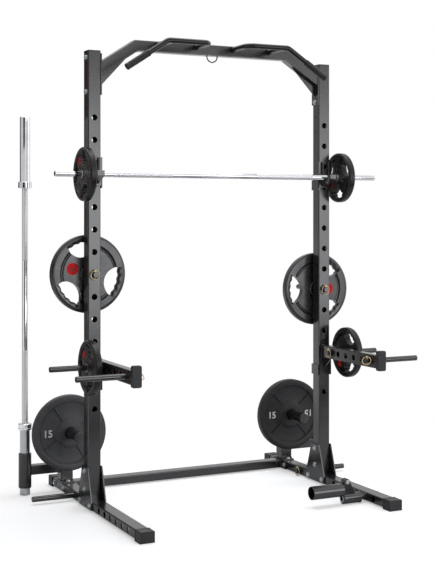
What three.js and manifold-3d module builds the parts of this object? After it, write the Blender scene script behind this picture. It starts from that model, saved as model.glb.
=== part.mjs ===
// A free-standing half rack for a family gym, with its barbell, its stored weight plates, an
// upright long bar and a floor swivel.
// Millimetres. +Z is up, -Y is towards the lifter, +X is to the right as the lifter faces the rack.
// Every piece is worked out about x = 0 midway between the uprights, y = 0 on their middle line
// and z = 0 on the floor. At the end the whole rack moves to the middle of its own footprint.
import * as THREE from 'three';
import { mergeVertices } from 'three/addons/utils/BufferGeometryUtils.js';
import Module from 'manifold-3d';

const wasm = await Module();
wasm.setup();

// Clearances
const seatGap = 0.3; // between pieces that bear on each other
const cutOver = 2; // how far a cut runs past the face that it opens

// Square tubes
const tubeWall = 3;
const tubeCorner = 4;
const plateThick = 6;

// Base rails, one under each upright
const halfSpread = 595; // from the middle of the rack to the middle of an upright
const railWide = 60;
const railTall = 40;
const railFront = -637;
const railBack = 524;
const railHoleFirst = -166;
const railHoleCount = 6;
const pinPitch = 68; // between the holes of a rail and of a spotter arm
const storeHoleY = 163; // the rail's rear hole, for the base peg

// Rubber foot caps on the rails' ends
const soleThick = 6;
const capEnd = 6;
const capGrip = 51; // length over the tube
const capSide = 4;
const capTop = 3;

// Uprights
const uprightWide = 60;
const uprightDeep = 60;
const uprightLong = 2000; // with its cap
const uprightHoles = 14;
const uprightHolePitch = 100;
const topHoleDown = 300; // from the upright's top to its first hole
const holeRadius = 13.4;
const smallHoleRadius = 4;
const smallHolesDown = [255, 329]; // from the upright's top to the small holes of its inner face
const capHead = 3;
const capPlug = 14;

// Hexagon bolts
const boltRadius = 6;
const hexRadius = 10.5; // over the corners
const hexTall = 8;

// Gusset plates that join the uprights to the rails
const gussetFoot = 84; // half of its width on the rail
const gussetHead = 36; // half of its width at the top
const gussetTop = 190;
const gussetRaise = 8; // its lower edge above the floor
const gussetRailBolt = 64; // from the upright's middle line to a bolt in the rail
const gussetBoltLow = 88;
const gussetBoltHigh = 168;

// Crossmember at the back
const crossY = 376;
const crossDeep = 60;
const flangeHalf = 85;
const flangeBolt = 64; // from the crossmember's middle to a flange bolt

// Rear posts with their horn and their long-bar holder
const postWide = 60;
const postTop = 330;
const postFootOver = 25; // how far the foot plate runs past the post
const postBoltOut = 13; // from the post's face to the bolt in the foot plate
const hornZ = 286;
const hornRadius = 24;
const hornFront = 165;
const holderX = 792; // from the middle of the rack to the long bar
const holderRadius = 30;
const holderLow = 34;
const holderHigh = 195;
const holderArmZ = 115;
const holderArmWide = 45;

// Pull-up beam
const beamSize = 50;
const beamTop = 2105;
const beamBend = 398; // from the middle to the bend, on the beam's upper face
const beamSlope = THREE.MathUtils.degToRad(33);
const beamPlateLow = 1848;
const beamPlateHigh = 2034;
const beamBoltLow = 1862;
const beamBoltHigh = 2015;
const webThick = 5;
const webRise = 55; // the height of the stiffening web on the end plate
const webReach = 129; // and how far it reaches along the beam
const eyeRadius = 26.5; // the hanging eye under the beam
const eyeWire = 3;
const eyeDrop = 28.5; // from the beam's lower face to the middle of the eye's lowest wire

// Pull-up grips
const gripRadius = 12.5;
const gripZ = 2088;
const gripFront = -188;
const gripInner = 95;
const gripBend = 304.5;
const gripEnd = 503;
const gripCurl = 40; // the bend radius of the grip's tube
const gripStub = 286; // where the middle stay joins the grip
const sleeveLong = 125;
const sleeveWall = 2.5;

// J-hooks
const hookTop = 1569;
const hookPlateLow = 1442;
const hookSideLow = 1431;
const hookSideHigh = 1480;
const hookPinZ = 1546;
const hookPinRadius = 12.5;
const sidePlate = 5; // the thickness of the flanges that clasp an upright
const sideBack = 33; // how far behind the upright's middle line a flange reaches
const hookArmWide = 50;
const hookArmLow = 1450; // the underside of the arm at the plate
const hookArmSlope = THREE.MathUtils.degToRad(23.5);
const hookReach = 79; // from the hook's plate to the tip's front face
const hookLipTop = 1508;
const linerThick = 10; // on the arm and on the guard
const linerRib = 9; // width of each upright rib of the guard
const linerGroove = 22; // width of the groove between the ribs

// Spotter arms
const armWide = 40;
const armTall = 60;
const armZ = 646;
const armFront = -513;
const armHoleFirst = -120;
const armHoleCount = 6;
const armPlateLow = 530;
const armPlateHigh = 671;
const armSideHigh = 580;
const armWebReach = 60;
const armWebDrop = 50;
const armCapWide = 42;
const armCapDeep = 22;
const armCapUp = 21; // above the arm's tube
const armCapDown = 10; // below it
const armCapCorner = 7;

// Storage pegs with their linch pins
const pegRadius = 12.5;
const pegLong = 279;
const pegOut = 12; // from the linch pin to the tube that the peg goes through
const pinInset = 9; // from the peg's end to its linch pin
const linchRadius = 3.5;
const linchHead = 5.5;
const linchHeadTall = 9;
const linchTail = 18; // below the peg's axis
const ringRadius = 20;
const ringWire = 1.75;
const ringLean = THREE.MathUtils.degToRad(41);
const ringTurn = THREE.MathUtils.degToRad(45);
const backPegLeft = 1046;
const backPegRight = 946;

// Barbell
const barRadius = 13;
const barLeft = -790;
const barRight = 863;
const barEdge = 2;

// Weight plates with three hand openings
const smallRadius = 120;
const smallThick = 35;
const largeRadius = 177;
const largeThick = 38;
const plateBore = 13.8;
const openShares = { ring: 0.79, lobe: 0.4, lobeOut: 0.84, corner: 0.045 };
const faceShares = { hub: 0.19, hubFoot: 0.22, dish: 0.8, crown: 0.9, hubTall: 0.94, web: 0.6 };
const barPlateLeftX = -650;
const barPlateRightX = 665;
const armPlateLeftX = -649;
const armPlateRightX = 669;
const backPlateY = 60;
const spinBarLeft = THREE.MathUtils.degToRad(55);
const spinBarRight = THREE.MathUtils.degToRad(30);
const spinArmLeft = THREE.MathUtils.degToRad(60);
const spinArmRight = THREE.MathUtils.degToRad(60);
const spinBackLeft = THREE.MathUtils.degToRad(103.5);
const spinBackRight = THREE.MathUtils.degToRad(60);

// Cast-iron plates on the horns
const ironRadius = 178;
const ironThick = 48;
const ironBore = 25.2;
const ironShares = { hub: 0.33, hubFoot: 0.4, rimIn: 0.8, rimOut: 0.84, web: 0.42, rim: 0.86 };
const ironRibWide = 8;
const ironRibShare = 0.68;
const ironGapToPost = 4;
const spinIronLeft = THREE.MathUtils.degToRad(31);
const spinIronRight = THREE.MathUtils.degToRad(41);

// Long bar in the left holder
const longBarTop = 1770;
const shaftRadius = 14;
const endLong = 334; // one end sleeve with its collar
const endRadius = 24;
const endCollarRadius = 32;
const endCollar = 29;
const endFloor = 8; // thickness of the sleeve's closed end

// Floor swivel on the right rail
const swivelHole = 4; // which rail hole it sits in, counted from the first
const swivelLeft = 452;
const swivelRight = 536;
const swivelRadius = 24;
const swivelLipRadius = 25.5;
const swivelLip = 8;
const pinRadius = 12.5;
const pinWasher = 16;
const pinWasherThick = 3;
const pinShoulder = 18;
const pinNut = 12;
const pivotX = 460;
const pivotZ = 102;
const earRadius = 16;
const earThick = 6;
const earFoot = 40;
const earFootLeft = 454;
const earFootRight = 510;
const lugThick = 12;
const sleeveTubeRadius = 30;
const sleeveTubeLeft = 281;
const sleeveTubeRight = 442;
const sleeveTubeZ = 67;
const lugRootLow = 62;
const lugRootHigh = 96;

// How finely round forms are faceted
const holeSides = 8;
const rodSides = 12;
const pinSides = 6;
const tubeSides = 16;
const smallPlateSides = 22;
const largePlateSides = 28;
const bendSteps = 4;
const ringSteps = 12;
const ringSides = 4;
const cornerSteps = 1;

// Sizes that follow from the ones above
const railMiddle = soleThick + railTall / 2;
const railTop = soleThick + railTall;
const uprightTop = railTop + uprightLong;
const innerFace = halfSpread - uprightWide / 2;
const frontFace = -uprightDeep / 2;
const holeZ = (k) => uprightTop - topHoleDown - k * uprightHolePitch;
const railHoleY = (k) => railHoleFirst - k * pinPitch;
const armHoleY = (k) => armHoleFirst - k * pinPitch;
const quarter = Math.PI / 2;
const full = Math.PI * 2;

// The radius of a faceted bore that a rod turns in: its flats keep the seat gap.
const turningBore = (radius, sides) => (radius + seatGap) / Math.cos(Math.PI / sides);

// Helpers
const span = (middle, size) => [middle - size / 2, middle + size / 2];
const ex = new THREE.Vector3(1, 0, 0);
const ey = new THREE.Vector3(0, 1, 0);
const ez = new THREE.Vector3(0, 0, 1);
// For each axis, the directions that a drawing's two coordinates and its depth take.
const bases = { x: [ey, ez, ex], y: [ex, ez, ey], z: [ex, ey, ez] };

// A closed solid from a geometry, with its faces turned outwards.
function solid(geometry) {
  const bare = geometry.clone();
  bare.deleteAttribute('normal');
  bare.deleteAttribute('uv');
  const welded = mergeVertices(bare);
  const index = welded.index.array;
  const points = welded.attributes.position;
  const corner = [new THREE.Vector3(), new THREE.Vector3(), new THREE.Vector3()];
  const faces = [];
  let volume = 0;
  for (let i = 0; i < index.length; i += 3) {
    const [a, b, c] = [index[i], index[i + 1], index[i + 2]];
    if (a === b || b === c || c === a) continue;
    faces.push(a, b, c);
    corner[0].fromBufferAttribute(points, a);
    corner[1].fromBufferAttribute(points, b);
    corner[2].fromBufferAttribute(points, c);
    volume += corner[0].dot(corner[1].cross(corner[2]));
  }
  if (volume < 0) {
    for (let i = 0; i < faces.length; i += 3) [faces[i + 1], faces[i + 2]] = [faces[i + 2], faces[i + 1]];
  }
  return new wasm.Manifold(new wasm.Mesh({
    numProp: 3,
    vertProperties: new Float32Array(points.array),
    triVerts: new Uint32Array(faces),
  }));
}

// The geometry of a finished solid.
function geometryOf(body) {
  const mesh = body.getMesh();
  const geometry = new THREE.BufferGeometry();
  geometry.setAttribute('position', new THREE.BufferAttribute(new Float32Array(mesh.vertProperties), 3));
  geometry.setIndex(new THREE.BufferAttribute(new Uint32Array(mesh.triVerts), 1));
  geometry.computeVertexNormals();
  return geometry;
}

// A solid moved by a matrix, which may also mirror it.
function moved(body, matrix) {
  return solid(geometryOf(body).applyMatrix4(matrix));
}

const flipX = new THREE.Matrix4().makeScale(-1, 1, 1);
const flipY = new THREE.Matrix4().makeScale(1, -1, 1);

function join(first, ...others) {
  return others.reduce((sum, other) => sum.add(other), first);
}

function cut(first, ...others) {
  return others.reduce((rest, other) => rest.subtract(other), first);
}

// A drawing's geometry, made along its own Z, stood along the given axis.
function stand(geometry, axis, middle) {
  const matrix = new THREE.Matrix4().makeBasis(...bases[axis]).setPosition(...middle);
  return solid(geometry.applyMatrix4(matrix));
}

function block([x0, x1], [y0, y1], [z0, z1]) {
  const geometry = new THREE.BoxGeometry(x1 - x0, y1 - y0, z1 - z0);
  geometry.translate((x0 + x1) / 2, (y0 + y1) / 2, (z0 + z1) / 2);
  return solid(geometry);
}

function rod(axis, radius, [from, to], middle, sides = rodSides) {
  const geometry = new THREE.CylinderGeometry(radius, radius, to - from, sides);
  geometry.rotateX(quarter);
  geometry.translate(0, 0, (from + to) / 2);
  return stand(geometry, axis, middle);
}

// A body of revolution: each point is a radius and a place along the axis.
function lathe(axis, profile, middle, sides) {
  const points = profile.map(([r, h]) => new THREE.Vector2(r, h));
  if (points[0].x > 0) points.push(points[0].clone());
  const geometry = new THREE.LatheGeometry(points, sides);
  geometry.rotateX(quarter);
  return stand(geometry, axis, middle);
}

function roundedOutline(wide, tall, corner, path) {
  const [x, y] = [wide / 2, tall / 2];
  path.moveTo(-x + corner, -y);
  path.lineTo(x - corner, -y);
  path.absarc(x - corner, -y + corner, corner, -quarter, 0, false);
  path.lineTo(x, y - corner);
  path.absarc(x - corner, y - corner, corner, 0, quarter, false);
  path.lineTo(-x + corner, y);
  path.absarc(-x + corner, y - corner, corner, quarter, Math.PI, false);
  path.lineTo(-x, -y + corner);
  path.absarc(-x + corner, -y + corner, corner, Math.PI, Math.PI + quarter, false);
  return path;
}

function extruded(shape, axis, [from, to], middle) {
  const geometry = new THREE.ExtrudeGeometry(shape, {
    depth: to - from, bevelEnabled: false, curveSegments: cornerSteps,
  });
  geometry.translate(0, 0, from);
  return stand(geometry, axis, middle);
}

// A bar with rounded edges, and a square tube with the wall of all of them.
function bar(axis, wide, tall, reach, middle, corner = tubeCorner) {
  return extruded(roundedOutline(wide, tall, corner, new THREE.Shape()), axis, reach, middle);
}

function tube(axis, wide, tall, reach, middle) {
  const shape = roundedOutline(wide, tall, tubeCorner, new THREE.Shape());
  const [inWide, inTall] = [wide - tubeWall * 2, tall - tubeWall * 2];
  shape.holes.push(roundedOutline(inWide, inTall, tubeCorner - tubeWall, new THREE.Path()));
  return extruded(shape, axis, reach, middle);
}

// A flat plate from its outline, given in the two other axes.
function sheet(axis, outline, reach, middle = [0, 0, 0]) {
  const shape = new THREE.Shape(outline.map(([a, b]) => new THREE.Vector2(a, b)));
  return extruded(shape, axis, reach, middle);
}

// Points on an arc in a drawing.
function arc([a, b], radius, from, to, steps) {
  return Array.from({ length: steps + 1 }, (_, i) => {
    const turn = from + (to - from) * i / steps;
    return [a + radius * Math.cos(turn), b + radius * Math.sin(turn)];
  });
}

// A route through listed points, for a round bar bent along it.
class Route extends THREE.Curve {
  constructor(points) {
    super();
    this.points = points;
  }

  getPoint(t) {
    return this.points[Math.round(t * (this.points.length - 1))].clone();
  }

  getPointAt(t) {
    return this.getPoint(t);
  }

  getTangentAt(t) {
    const last = this.points.length - 1;
    const i = Math.round(t * last);
    const before = this.points[i].clone().sub(this.points[Math.max(i - 1, 0)]).normalize();
    const after = this.points[Math.min(i + 1, last)].clone().sub(this.points[i]).normalize();
    return before.add(after).normalize();
  }
}

// The corners of a route, each but the first and last rounded with the given radius.
function bentRoute(corners, radius) {
  const points = [corners[0]];
  for (let i = 1; i < corners.length - 1; i += 1) {
    const back = corners[i - 1].clone().sub(corners[i]).normalize();
    const on = corners[i + 1].clone().sub(corners[i]).normalize();
    const half = back.angleTo(on) / 2;
    const middle = back.clone().add(on).normalize().multiplyScalar(radius / Math.sin(half)).add(corners[i]);
    const start = back.clone().multiplyScalar(radius / Math.tan(half)).add(corners[i]).sub(middle);
    const axis = back.clone().cross(on).normalize();
    const sweep = Math.PI - half * 2;
    for (let k = 0; k <= bendSteps; k += 1) {
      points.push(start.clone().applyAxisAngle(axis, -sweep * k / bendSteps).add(middle));
    }
  }
  points.push(corners[corners.length - 1]);
  return points;
}

function bentRod(points, radius, sides) {
  const ring = Array.from({ length: sides }, (_, i) => {
    const turn = full * i / sides;
    return new THREE.Vector2(radius * Math.cos(turn), radius * Math.sin(turn));
  });
  const geometry = new THREE.ExtrudeGeometry(new THREE.Shape(ring), {
    steps: points.length - 1, bevelEnabled: false, extrudePath: new Route(points),
  });
  return solid(geometry);
}

function hexHead(axis, reach, middle, radius = hexRadius) {
  return rod(axis, radius, reach, middle, 6);
}

// Materials
function finish(color, roughness, metalness) {
  return new THREE.MeshStandardMaterial({ color, roughness, metalness });
}

const looks = {
  coat: [0x2b2b2f, 0.45, 0.4],
  rubber: [0x151517, 0.7, 0],
  chrome: [0xd9dbe0, 0.12, 1],
  iron: [0x3c3c40, 0.6, 0.3],
  zinc: [0xa9b6bd, 0.35, 1],
  yellow: [0xb59a55, 0.35, 1],
  grip: [0x1c1c1f, 0.55, 0],
};

const rack = new THREE.Group();

function piece(name, body, look, place = [0, 0, 0], turn = [0, 0, 0], parent = rack) {
  const mesh = new THREE.Mesh(geometryOf(body), finish(...looks[look]));
  mesh.name = name;
  mesh.position.set(...place);
  mesh.rotation.set(...turn);
  parent.add(mesh);
  return mesh;
}

// Base rails: the right one is drawn about its own middle, the left one is its mirror image.
function baseRail() {
  const through = span(0, railWide + cutOver * 2);
  const holes = Array.from({ length: railHoleCount }, (_, k) => railHoleY(k));
  holes.push(storeHoleY);
  const hollow = cut(
    tube('y', railWide, railTall, [railFront, railBack], [0, 0, railMiddle]),
    ...holes.map((y) => rod('x', holeRadius, through, [0, y, railMiddle], holeSides)),
  );
  const heads = [crossY - flangeBolt, crossY + flangeBolt].map(
    (y) => hexHead('x', [railWide / 2 - tubeWall / 2, railWide / 2 + hexTall], [0, y, railMiddle]),
  );
  return join(hollow, ...heads);
}

// A foot cap grips the end of a rail and carries it on its sole.
function footCap() {
  const wide = railWide + capSide * 2;
  const tall = soleThick + railTall + capTop;
  const end = railFront - capEnd;
  const shell = bar('y', wide, tall, [end, railFront + capGrip], [0, 0, tall / 2]);
  const pocket = block(
    span(0, railWide + seatGap * 2),
    [railFront, railFront + capGrip + cutOver],
    [soleThick, railTop + seatGap],
  );
  return cut(shell, pocket);
}

const rightRail = baseRail();
const footCapBody = footCap();
piece('base_rail_left', moved(rightRail, flipX), 'coat', [-halfSpread, 0, 0]);
piece('base_rail_right', rightRail, 'coat', [halfSpread, 0, 0]);
for (const [name, side] of [['left', -1], ['right', 1]]) {
  piece(`foot_cap_${name}_front`, footCapBody, 'rubber', [side * halfSpread, 0, 0]);
  // The rear cap is the same piece turned round.
  const rear = [side * halfSpread, railFront + railBack, 0];
  piece(`foot_cap_${name}_rear`, footCapBody, 'rubber', rear, [0, 0, Math.PI]);
}

// Crossmember: a tube between two bolted flanges.
function crossmember() {
  const flangeIn = innerFace - plateThick;
  const pieces = [-1, 1].flatMap((side) => {
    const reach = [side * flangeIn, side * innerFace].sort((a, b) => a - b);
    const flange = block(reach, span(crossY, flangeHalf * 2), [soleThick, railTop]);
    const nutReach = [side * (flangeIn - hexTall), side * (innerFace - seatGap)].sort((a, b) => a - b);
    const nuts = [-1, 1].map((end) => hexHead('x', nutReach, [0, crossY + end * flangeBolt, railMiddle]));
    return [flange, ...nuts];
  });
  const reach = span(0, (innerFace - plateThick / 2) * 2);
  const body = join(bar('x', crossDeep, railTall, reach, [0, crossY, railMiddle]), ...pieces);
  const [hollowDeep, hollowTall] = [crossDeep - tubeWall * 2, railTall - tubeWall * 2];
  const hollow = bar('x', hollowDeep, hollowTall, span(0, (innerFace + cutOver) * 2),
    [0, crossY, railMiddle], tubeCorner - tubeWall);
  return cut(body, hollow);
}

piece('crossmember', crossmember(), 'coat');

// Uprights, with the pin holes front to back and two small holes in the inner face.
function upright() {
  const top = uprightTop - capHead;
  const through = span(0, uprightDeep + cutOver * 2);
  const holes = Array.from({ length: uprightHoles }, (_, k) => (
    rod('y', holeRadius, through, [0, 0, holeZ(k)], holeSides)
  ));
  const small = smallHolesDown.map((down) => (
    rod('x', smallHoleRadius, [-uprightWide / 2 - cutOver, 0], [0, 0, uprightTop - down], pinSides)
  ));
  const heads = [beamBoltLow, beamBoltHigh].map((z) => (
    hexHead('x', [uprightWide / 2 - tubeWall / 2, uprightWide / 2 + hexTall], [0, 0, z])
  ));
  return join(
    cut(tube('z', uprightWide, uprightDeep, [railTop, top], [0, 0, 0]), ...holes, ...small),
    ...heads,
  );
}

function uprightCap() {
  const top = uprightTop - capHead;
  const plugWide = uprightWide - (tubeWall + seatGap) * 2;
  const plugDeep = uprightDeep - (tubeWall + seatGap) * 2;
  const head = bar('z', uprightWide, uprightDeep, [top, uprightTop], [0, 0, 0]);
  const plug = block(span(0, plugWide), span(0, plugDeep), [top - capPlug, top + capHead / 2]);
  const hollow = block(
    span(0, plugWide - tubeWall * 2), span(0, plugDeep - tubeWall * 2), [top - capPlug - cutOver, top],
  );
  return cut(join(head, plug), hollow);
}

// A gusset lies on the side faces of the upright and the rail.
function gusset(inner) {
  const outline = [
    [-gussetFoot, gussetRaise], [gussetFoot, gussetRaise], [gussetFoot, railTop],
    [gussetHead, gussetTop], [-gussetHead, gussetTop], [-gussetFoot, railTop],
  ];
  const face = uprightWide / 2;
  const reach = inner ? [-face - plateThick, -face] : [face, face + plateThick];
  const headReach = inner
    ? [-face - plateThick - hexTall, -face - plateThick / 2]
    : [face + plateThick / 2, face + plateThick + hexTall];
  const bolts = [
    [-gussetRailBolt, railMiddle], [gussetRailBolt, railMiddle], [0, gussetBoltLow], [0, gussetBoltHigh],
  ];
  return join(
    sheet('x', outline, reach),
    ...bolts.map(([y, z]) => hexHead('x', headReach, [0, y, z])),
  );
}

const rightUpright = upright();
const outerGusset = gusset(false);
const innerGusset = gusset(true);
const capBody = uprightCap();
piece('upright_left', moved(rightUpright, flipX), 'coat', [-halfSpread, 0, 0]);
piece('upright_right', rightUpright, 'coat', [halfSpread, 0, 0]);
piece('upright_cap_left', capBody, 'rubber', [-halfSpread, 0, 0]);
piece('upright_cap_right', capBody, 'rubber', [halfSpread, 0, 0]);
piece('gusset_left_outer', moved(outerGusset, flipX), 'coat', [-halfSpread, 0, 0]);
piece('gusset_left_inner', moved(innerGusset, flipX), 'coat', [-halfSpread, 0, 0]);
piece('gusset_right_outer', outerGusset, 'coat', [halfSpread, 0, 0]);
piece('gusset_right_inner', innerGusset, 'coat', [halfSpread, 0, 0]);

// A rear post is one weldment: foot plate, post, horn, side arm and long-bar holder.
function rearPost() {
  const postFront = crossY - postWide / 2;
  const footBack = crossY + postWide / 2 + postFootOver;
  const footTop = railTop + plateThick;
  const holderPlace = holderX - halfSpread;
  const core = postWide - tubeWall * 2;
  const outer = join(
    block(span(0, railWide), [postFront - postFootOver, footBack], [railTop, footTop]),
    bar('z', postWide, postWide, [footTop - plateThick / 2, postTop], [0, crossY, 0]),
    rod('y', hornRadius, [hornFront, postFront + tubeWall / 2], [0, 0, hornZ], tubeSides),
    bar('x', holderArmWide, holderArmWide, [postWide / 2 - tubeWall / 2, holderPlace], [0, crossY, holderArmZ]),
    rod('z', holderRadius, [holderLow, holderHigh], [holderPlace, crossY, 0], tubeSides),
    hexHead('z', [railTop + plateThick / 2, footTop + hexTall], [0, postFront - postBoltOut, 0]),
  );
  const armCore = holderArmWide - tubeWall * 2;
  return cut(
    outer,
    block(span(0, core), span(crossY, core), [railTop - cutOver, postTop - tubeWall]),
    rod('y', hornRadius - tubeWall, [hornFront + tubeWall, crossY], [0, 0, hornZ], tubeSides),
    block([0, holderPlace - holderRadius + tubeWall / 2], span(crossY, armCore), span(holderArmZ, armCore)),
    rod('z', turningBore(endRadius, tubeSides), [holderLow - cutOver, holderHigh + cutOver], [holderPlace, crossY, 0], tubeSides),
  );
}

const rightPost = rearPost();
piece('rear_post_left', moved(rightPost, flipX), 'coat', [-halfSpread, 0, 0]);
piece('rear_post_right', rightPost, 'coat', [halfSpread, 0, 0]);

// Pull-up beam: level in the middle, sloping down to an end plate on each upright.
function beamOutline(inset) {
  const plateFace = innerFace - plateThick + (inset ? cutOver + plateThick : plateThick / 2);
  const half = Math.tan(beamSlope / 2);
  const topZ = beamTop - inset;
  const lowZ = beamTop - beamSize + inset;
  const topX = beamBend - inset * half;
  const lowX = beamBend - (beamSize - inset) * half;
  const drop = (x) => (plateFace - x) * Math.tan(beamSlope);
  const right = [
    [lowX, lowZ], [plateFace, lowZ - drop(lowX)], [plateFace, topZ - drop(topX)], [topX, topZ],
  ];
  const left = right.map(([x, z]) => [-x, z]).reverse();
  return [...right, ...left];
}

function pullupBeam() {
  const plateIn = innerFace - plateThick;
  const lowZ = beamTop - beamSize;
  const lowX = beamBend - beamSize * Math.tan(beamSlope / 2);
  const webHigh = lowZ - (plateIn - lowX) * Math.tan(beamSlope);
  const webEnd = plateIn - webReach;
  const webEndZ = lowZ - (webEnd - lowX) * Math.tan(beamSlope);
  const sides = [-1, 1].flatMap((side) => {
    const order = (a, b) => [side * a, side * b].sort((p, q) => p - q);
    const web = [
      [side * (plateIn + plateThick / 2), webHigh + tubeWall / 2],
      [side * (plateIn + plateThick / 2), webHigh - webRise],
      [side * webEnd, webEndZ],
      [side * webEnd, webEndZ + tubeWall / 2],
    ];
    return [
      block(order(plateIn, innerFace), span(0, uprightDeep), [beamPlateLow, beamPlateHigh]),
      sheet('y', web, span(0, webThick)),
      ...[beamBoltLow, beamBoltHigh].map((z) => (
        hexHead('x', order(plateIn - hexTall, plateIn + plateThick / 2), [0, 0, z])
      )),
    ];
  });
  const eyeTop = lowZ + tubeWall / 2;
  const eyeMiddle = lowZ - eyeDrop + eyeRadius;
  const eyeArc = arc([0, 0], eyeRadius, Math.PI, full, bendSteps * 2)
    .map(([x, z]) => new THREE.Vector3(x, 0, eyeMiddle + z));
  const eyeEnds = [-1, 1].map((side) => new THREE.Vector3(side * eyeRadius, 0, eyeTop));
  const eye = bentRod([eyeEnds[0], ...eyeArc.slice(1, -1), eyeEnds[1]], eyeWire, pinSides);
  const beam = sheet('y', beamOutline(0), span(0, beamSize));
  const hollow = sheet('y', beamOutline(tubeWall), span(0, beamSize - tubeWall * 2));
  return cut(join(beam, ...sides, eye), hollow);
}

piece('pullup_beam', pullupBeam(), 'coat');

// Grips: a bent bar welded to the beam's front at its inner end and by a stay near its bend.
const gripRoot = -beamSize / 2;
const gripDrop = (gripEnd - gripBend) * Math.tan(beamSlope);

function pullupGrip() {
  const corners = [
    new THREE.Vector3(gripInner, gripRoot, gripZ),
    new THREE.Vector3(gripInner, gripFront, gripZ),
    new THREE.Vector3(gripBend, gripFront, gripZ),
    new THREE.Vector3(gripEnd, gripFront, gripZ - gripDrop),
  ];
  return join(
    bentRod(bentRoute(corners, gripCurl), gripRadius, rodSides),
    rod('y', gripRadius, [gripFront, gripRoot], [gripStub, 0, gripZ]),
  );
}

// The sleeve is pushed over the grip's free end.
function gripSleeve() {
  const bore = gripRadius + seatGap * 2;
  return lathe('z', [
    [0, -sleeveWall], [bore + sleeveWall, -sleeveWall], [bore + sleeveWall, sleeveLong],
    [bore, sleeveLong], [bore, 0], [0, 0],
  ], [0, 0, 0], rodSides);
}

const rightGrip = pullupGrip();
const sleeveBody = gripSleeve();
const sleeveTilt = quarter - beamSlope;
for (const [name, side] of [['left', -1], ['right', 1]]) {
  piece(`pullup_grip_${name}`, side < 0 ? moved(rightGrip, flipX) : rightGrip, 'coat');
  const slopeDown = new THREE.Vector3(side * Math.cos(beamSlope), 0, -Math.sin(beamSlope));
  const end = new THREE.Vector3(side * gripEnd, gripFront, gripZ - gripDrop).addScaledVector(slopeDown, seatGap);
  piece(`grip_sleeve_${name}`, sleeveBody, 'grip', end.toArray(), [0, -side * sleeveTilt, 0]);
}

// J-hooks: a plate on the upright's face, flanges round its sides, a pin in its hole, and a
// lined arm and guard that the bar rests in.
const hookFace = frontFace - plateThick;
const barY = hookFace - linerThick - barRadius - seatGap;
const hookRise = Math.tan(hookArmSlope);
const hookSteelTop = hookArmLow + plateThick / Math.cos(hookArmSlope);
const hookLinerTop = hookArmLow + (plateThick + linerThick) / Math.cos(hookArmSlope);
const barZ = hookLinerTop + (hookFace - barY) * hookRise + (barRadius + seatGap) / Math.cos(hookArmSlope);

function sideFlanges(low, high) {
  const inner = uprightWide / 2 + seatGap;
  return [-1, 1].map((side) => {
    const reach = [side * inner, side * (inner + sidePlate)].sort((a, b) => a - b);
    return block(reach, [hookFace, sideBack], [low, high]);
  });
}

function jHook() {
  const wide = uprightWide + (seatGap + sidePlate) * 2;
  const tipBack = hookFace - hookReach + plateThick;
  const tipFront = hookFace - hookReach;
  const rise = (y) => (hookFace - y) * hookRise;
  const into = hookFace + plateThick / 2;
  const steel = [
    [into, hookArmLow], [hookFace, hookArmLow], [tipFront, hookArmLow + rise(tipFront)],
    [tipFront, hookLipTop - plateThick / 2], [tipFront + plateThick / 2, hookLipTop],
    [tipBack, hookLipTop], [tipBack, hookSteelTop + rise(tipBack)], [hookFace, hookSteelTop],
    [into, hookSteelTop],
  ];
  const liner = [
    [into, hookSteelTop - plateThick / 2], [hookFace, hookSteelTop - plateThick / 2],
    [tipBack - plateThick / 2, hookSteelTop - plateThick / 2 + rise(tipBack)],
    [tipBack - plateThick / 2, hookLinerTop + rise(tipBack)], [hookFace, hookLinerTop],
    [into, hookLinerTop],
  ];
  const ribLow = hookLinerTop - linerThick / 2;
  const ribs = [-1, 1].map((side) => (
    block(span(side * (linerGroove + linerRib) / 2, linerRib), [hookFace - linerThick, into], [ribLow, hookTop])
  ));
  return join(
    block(span(0, wide), [hookFace, frontFace], [hookPlateLow, hookTop]),
    ...sideFlanges(hookSideLow, hookSideHigh),
    sheet('x', steel, span(0, hookArmWide)),
    sheet('x', liner, span(0, hookArmWide)),
    ...ribs,
    rod('y', hookPinRadius, [hookFace + plateThick / 2, -hookFace], [0, 0, hookPinZ], holeSides),
  );
}

// Spotter arms: a tube welded to a plate that hangs on the upright in the same way.
function spotterArm() {
  const wide = uprightWide + (seatGap + sidePlate) * 2;
  const low = armZ - armTall / 2;
  const through = span(0, armWide + cutOver * 2);
  const holes = Array.from({ length: armHoleCount }, (_, k) => (
    rod('x', holeRadius, through, [0, armHoleY(k), armZ], holeSides)
  ));
  const web = [
    [hookFace + plateThick / 2, low + tubeWall / 2], [hookFace + plateThick / 2, low - armWebDrop],
    [hookFace, low - armWebDrop], [hookFace - armWebReach, low], [hookFace - armWebReach, low + tubeWall / 2],
  ];
  const arm = cut(tube('y', armWide, armTall, [armFront, hookFace], [0, 0, armZ]), ...holes);
  return join(
    arm,
    block(span(0, wide), [hookFace, frontFace], [armPlateLow, armPlateHigh]),
    ...sideFlanges(armPlateLow, armSideHigh),
    sheet('x', web, span(0, plateThick)),
    rod('y', hookPinRadius, [hookFace + plateThick / 2, -hookFace], [0, 0, armZ], holeSides),
  );
}

function armCap() {
  const low = armZ - armTall / 2 - armCapDown;
  const high = armZ + armTall / 2 + armCapUp;
  const inside = tubeWall + seatGap;
  const head = bar('y', armCapWide, high - low, [armFront - armCapDeep, armFront], [0, 0, (low + high) / 2],
    armCapCorner);
  const plugTall = armTall - inside * 2;
  const plug = block(span(0, armWide - inside * 2), [armFront - armCapDeep / 2, armFront + armCapDeep],
    span(armZ, plugTall));
  return join(head, plug);
}

const hookBody = jHook();
const armBody = spotterArm();
const armCapBody = armCap();
for (const [name, side] of [['left', -1], ['right', 1]]) {
  const place = [side * halfSpread, 0, 0];
  piece(`j_hook_${name}`, hookBody, 'coat', place);
  piece(`spotter_arm_${name}`, armBody, 'coat', place);
  piece(`arm_cap_${name}`, armCapBody, 'rubber', place);
}

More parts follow.
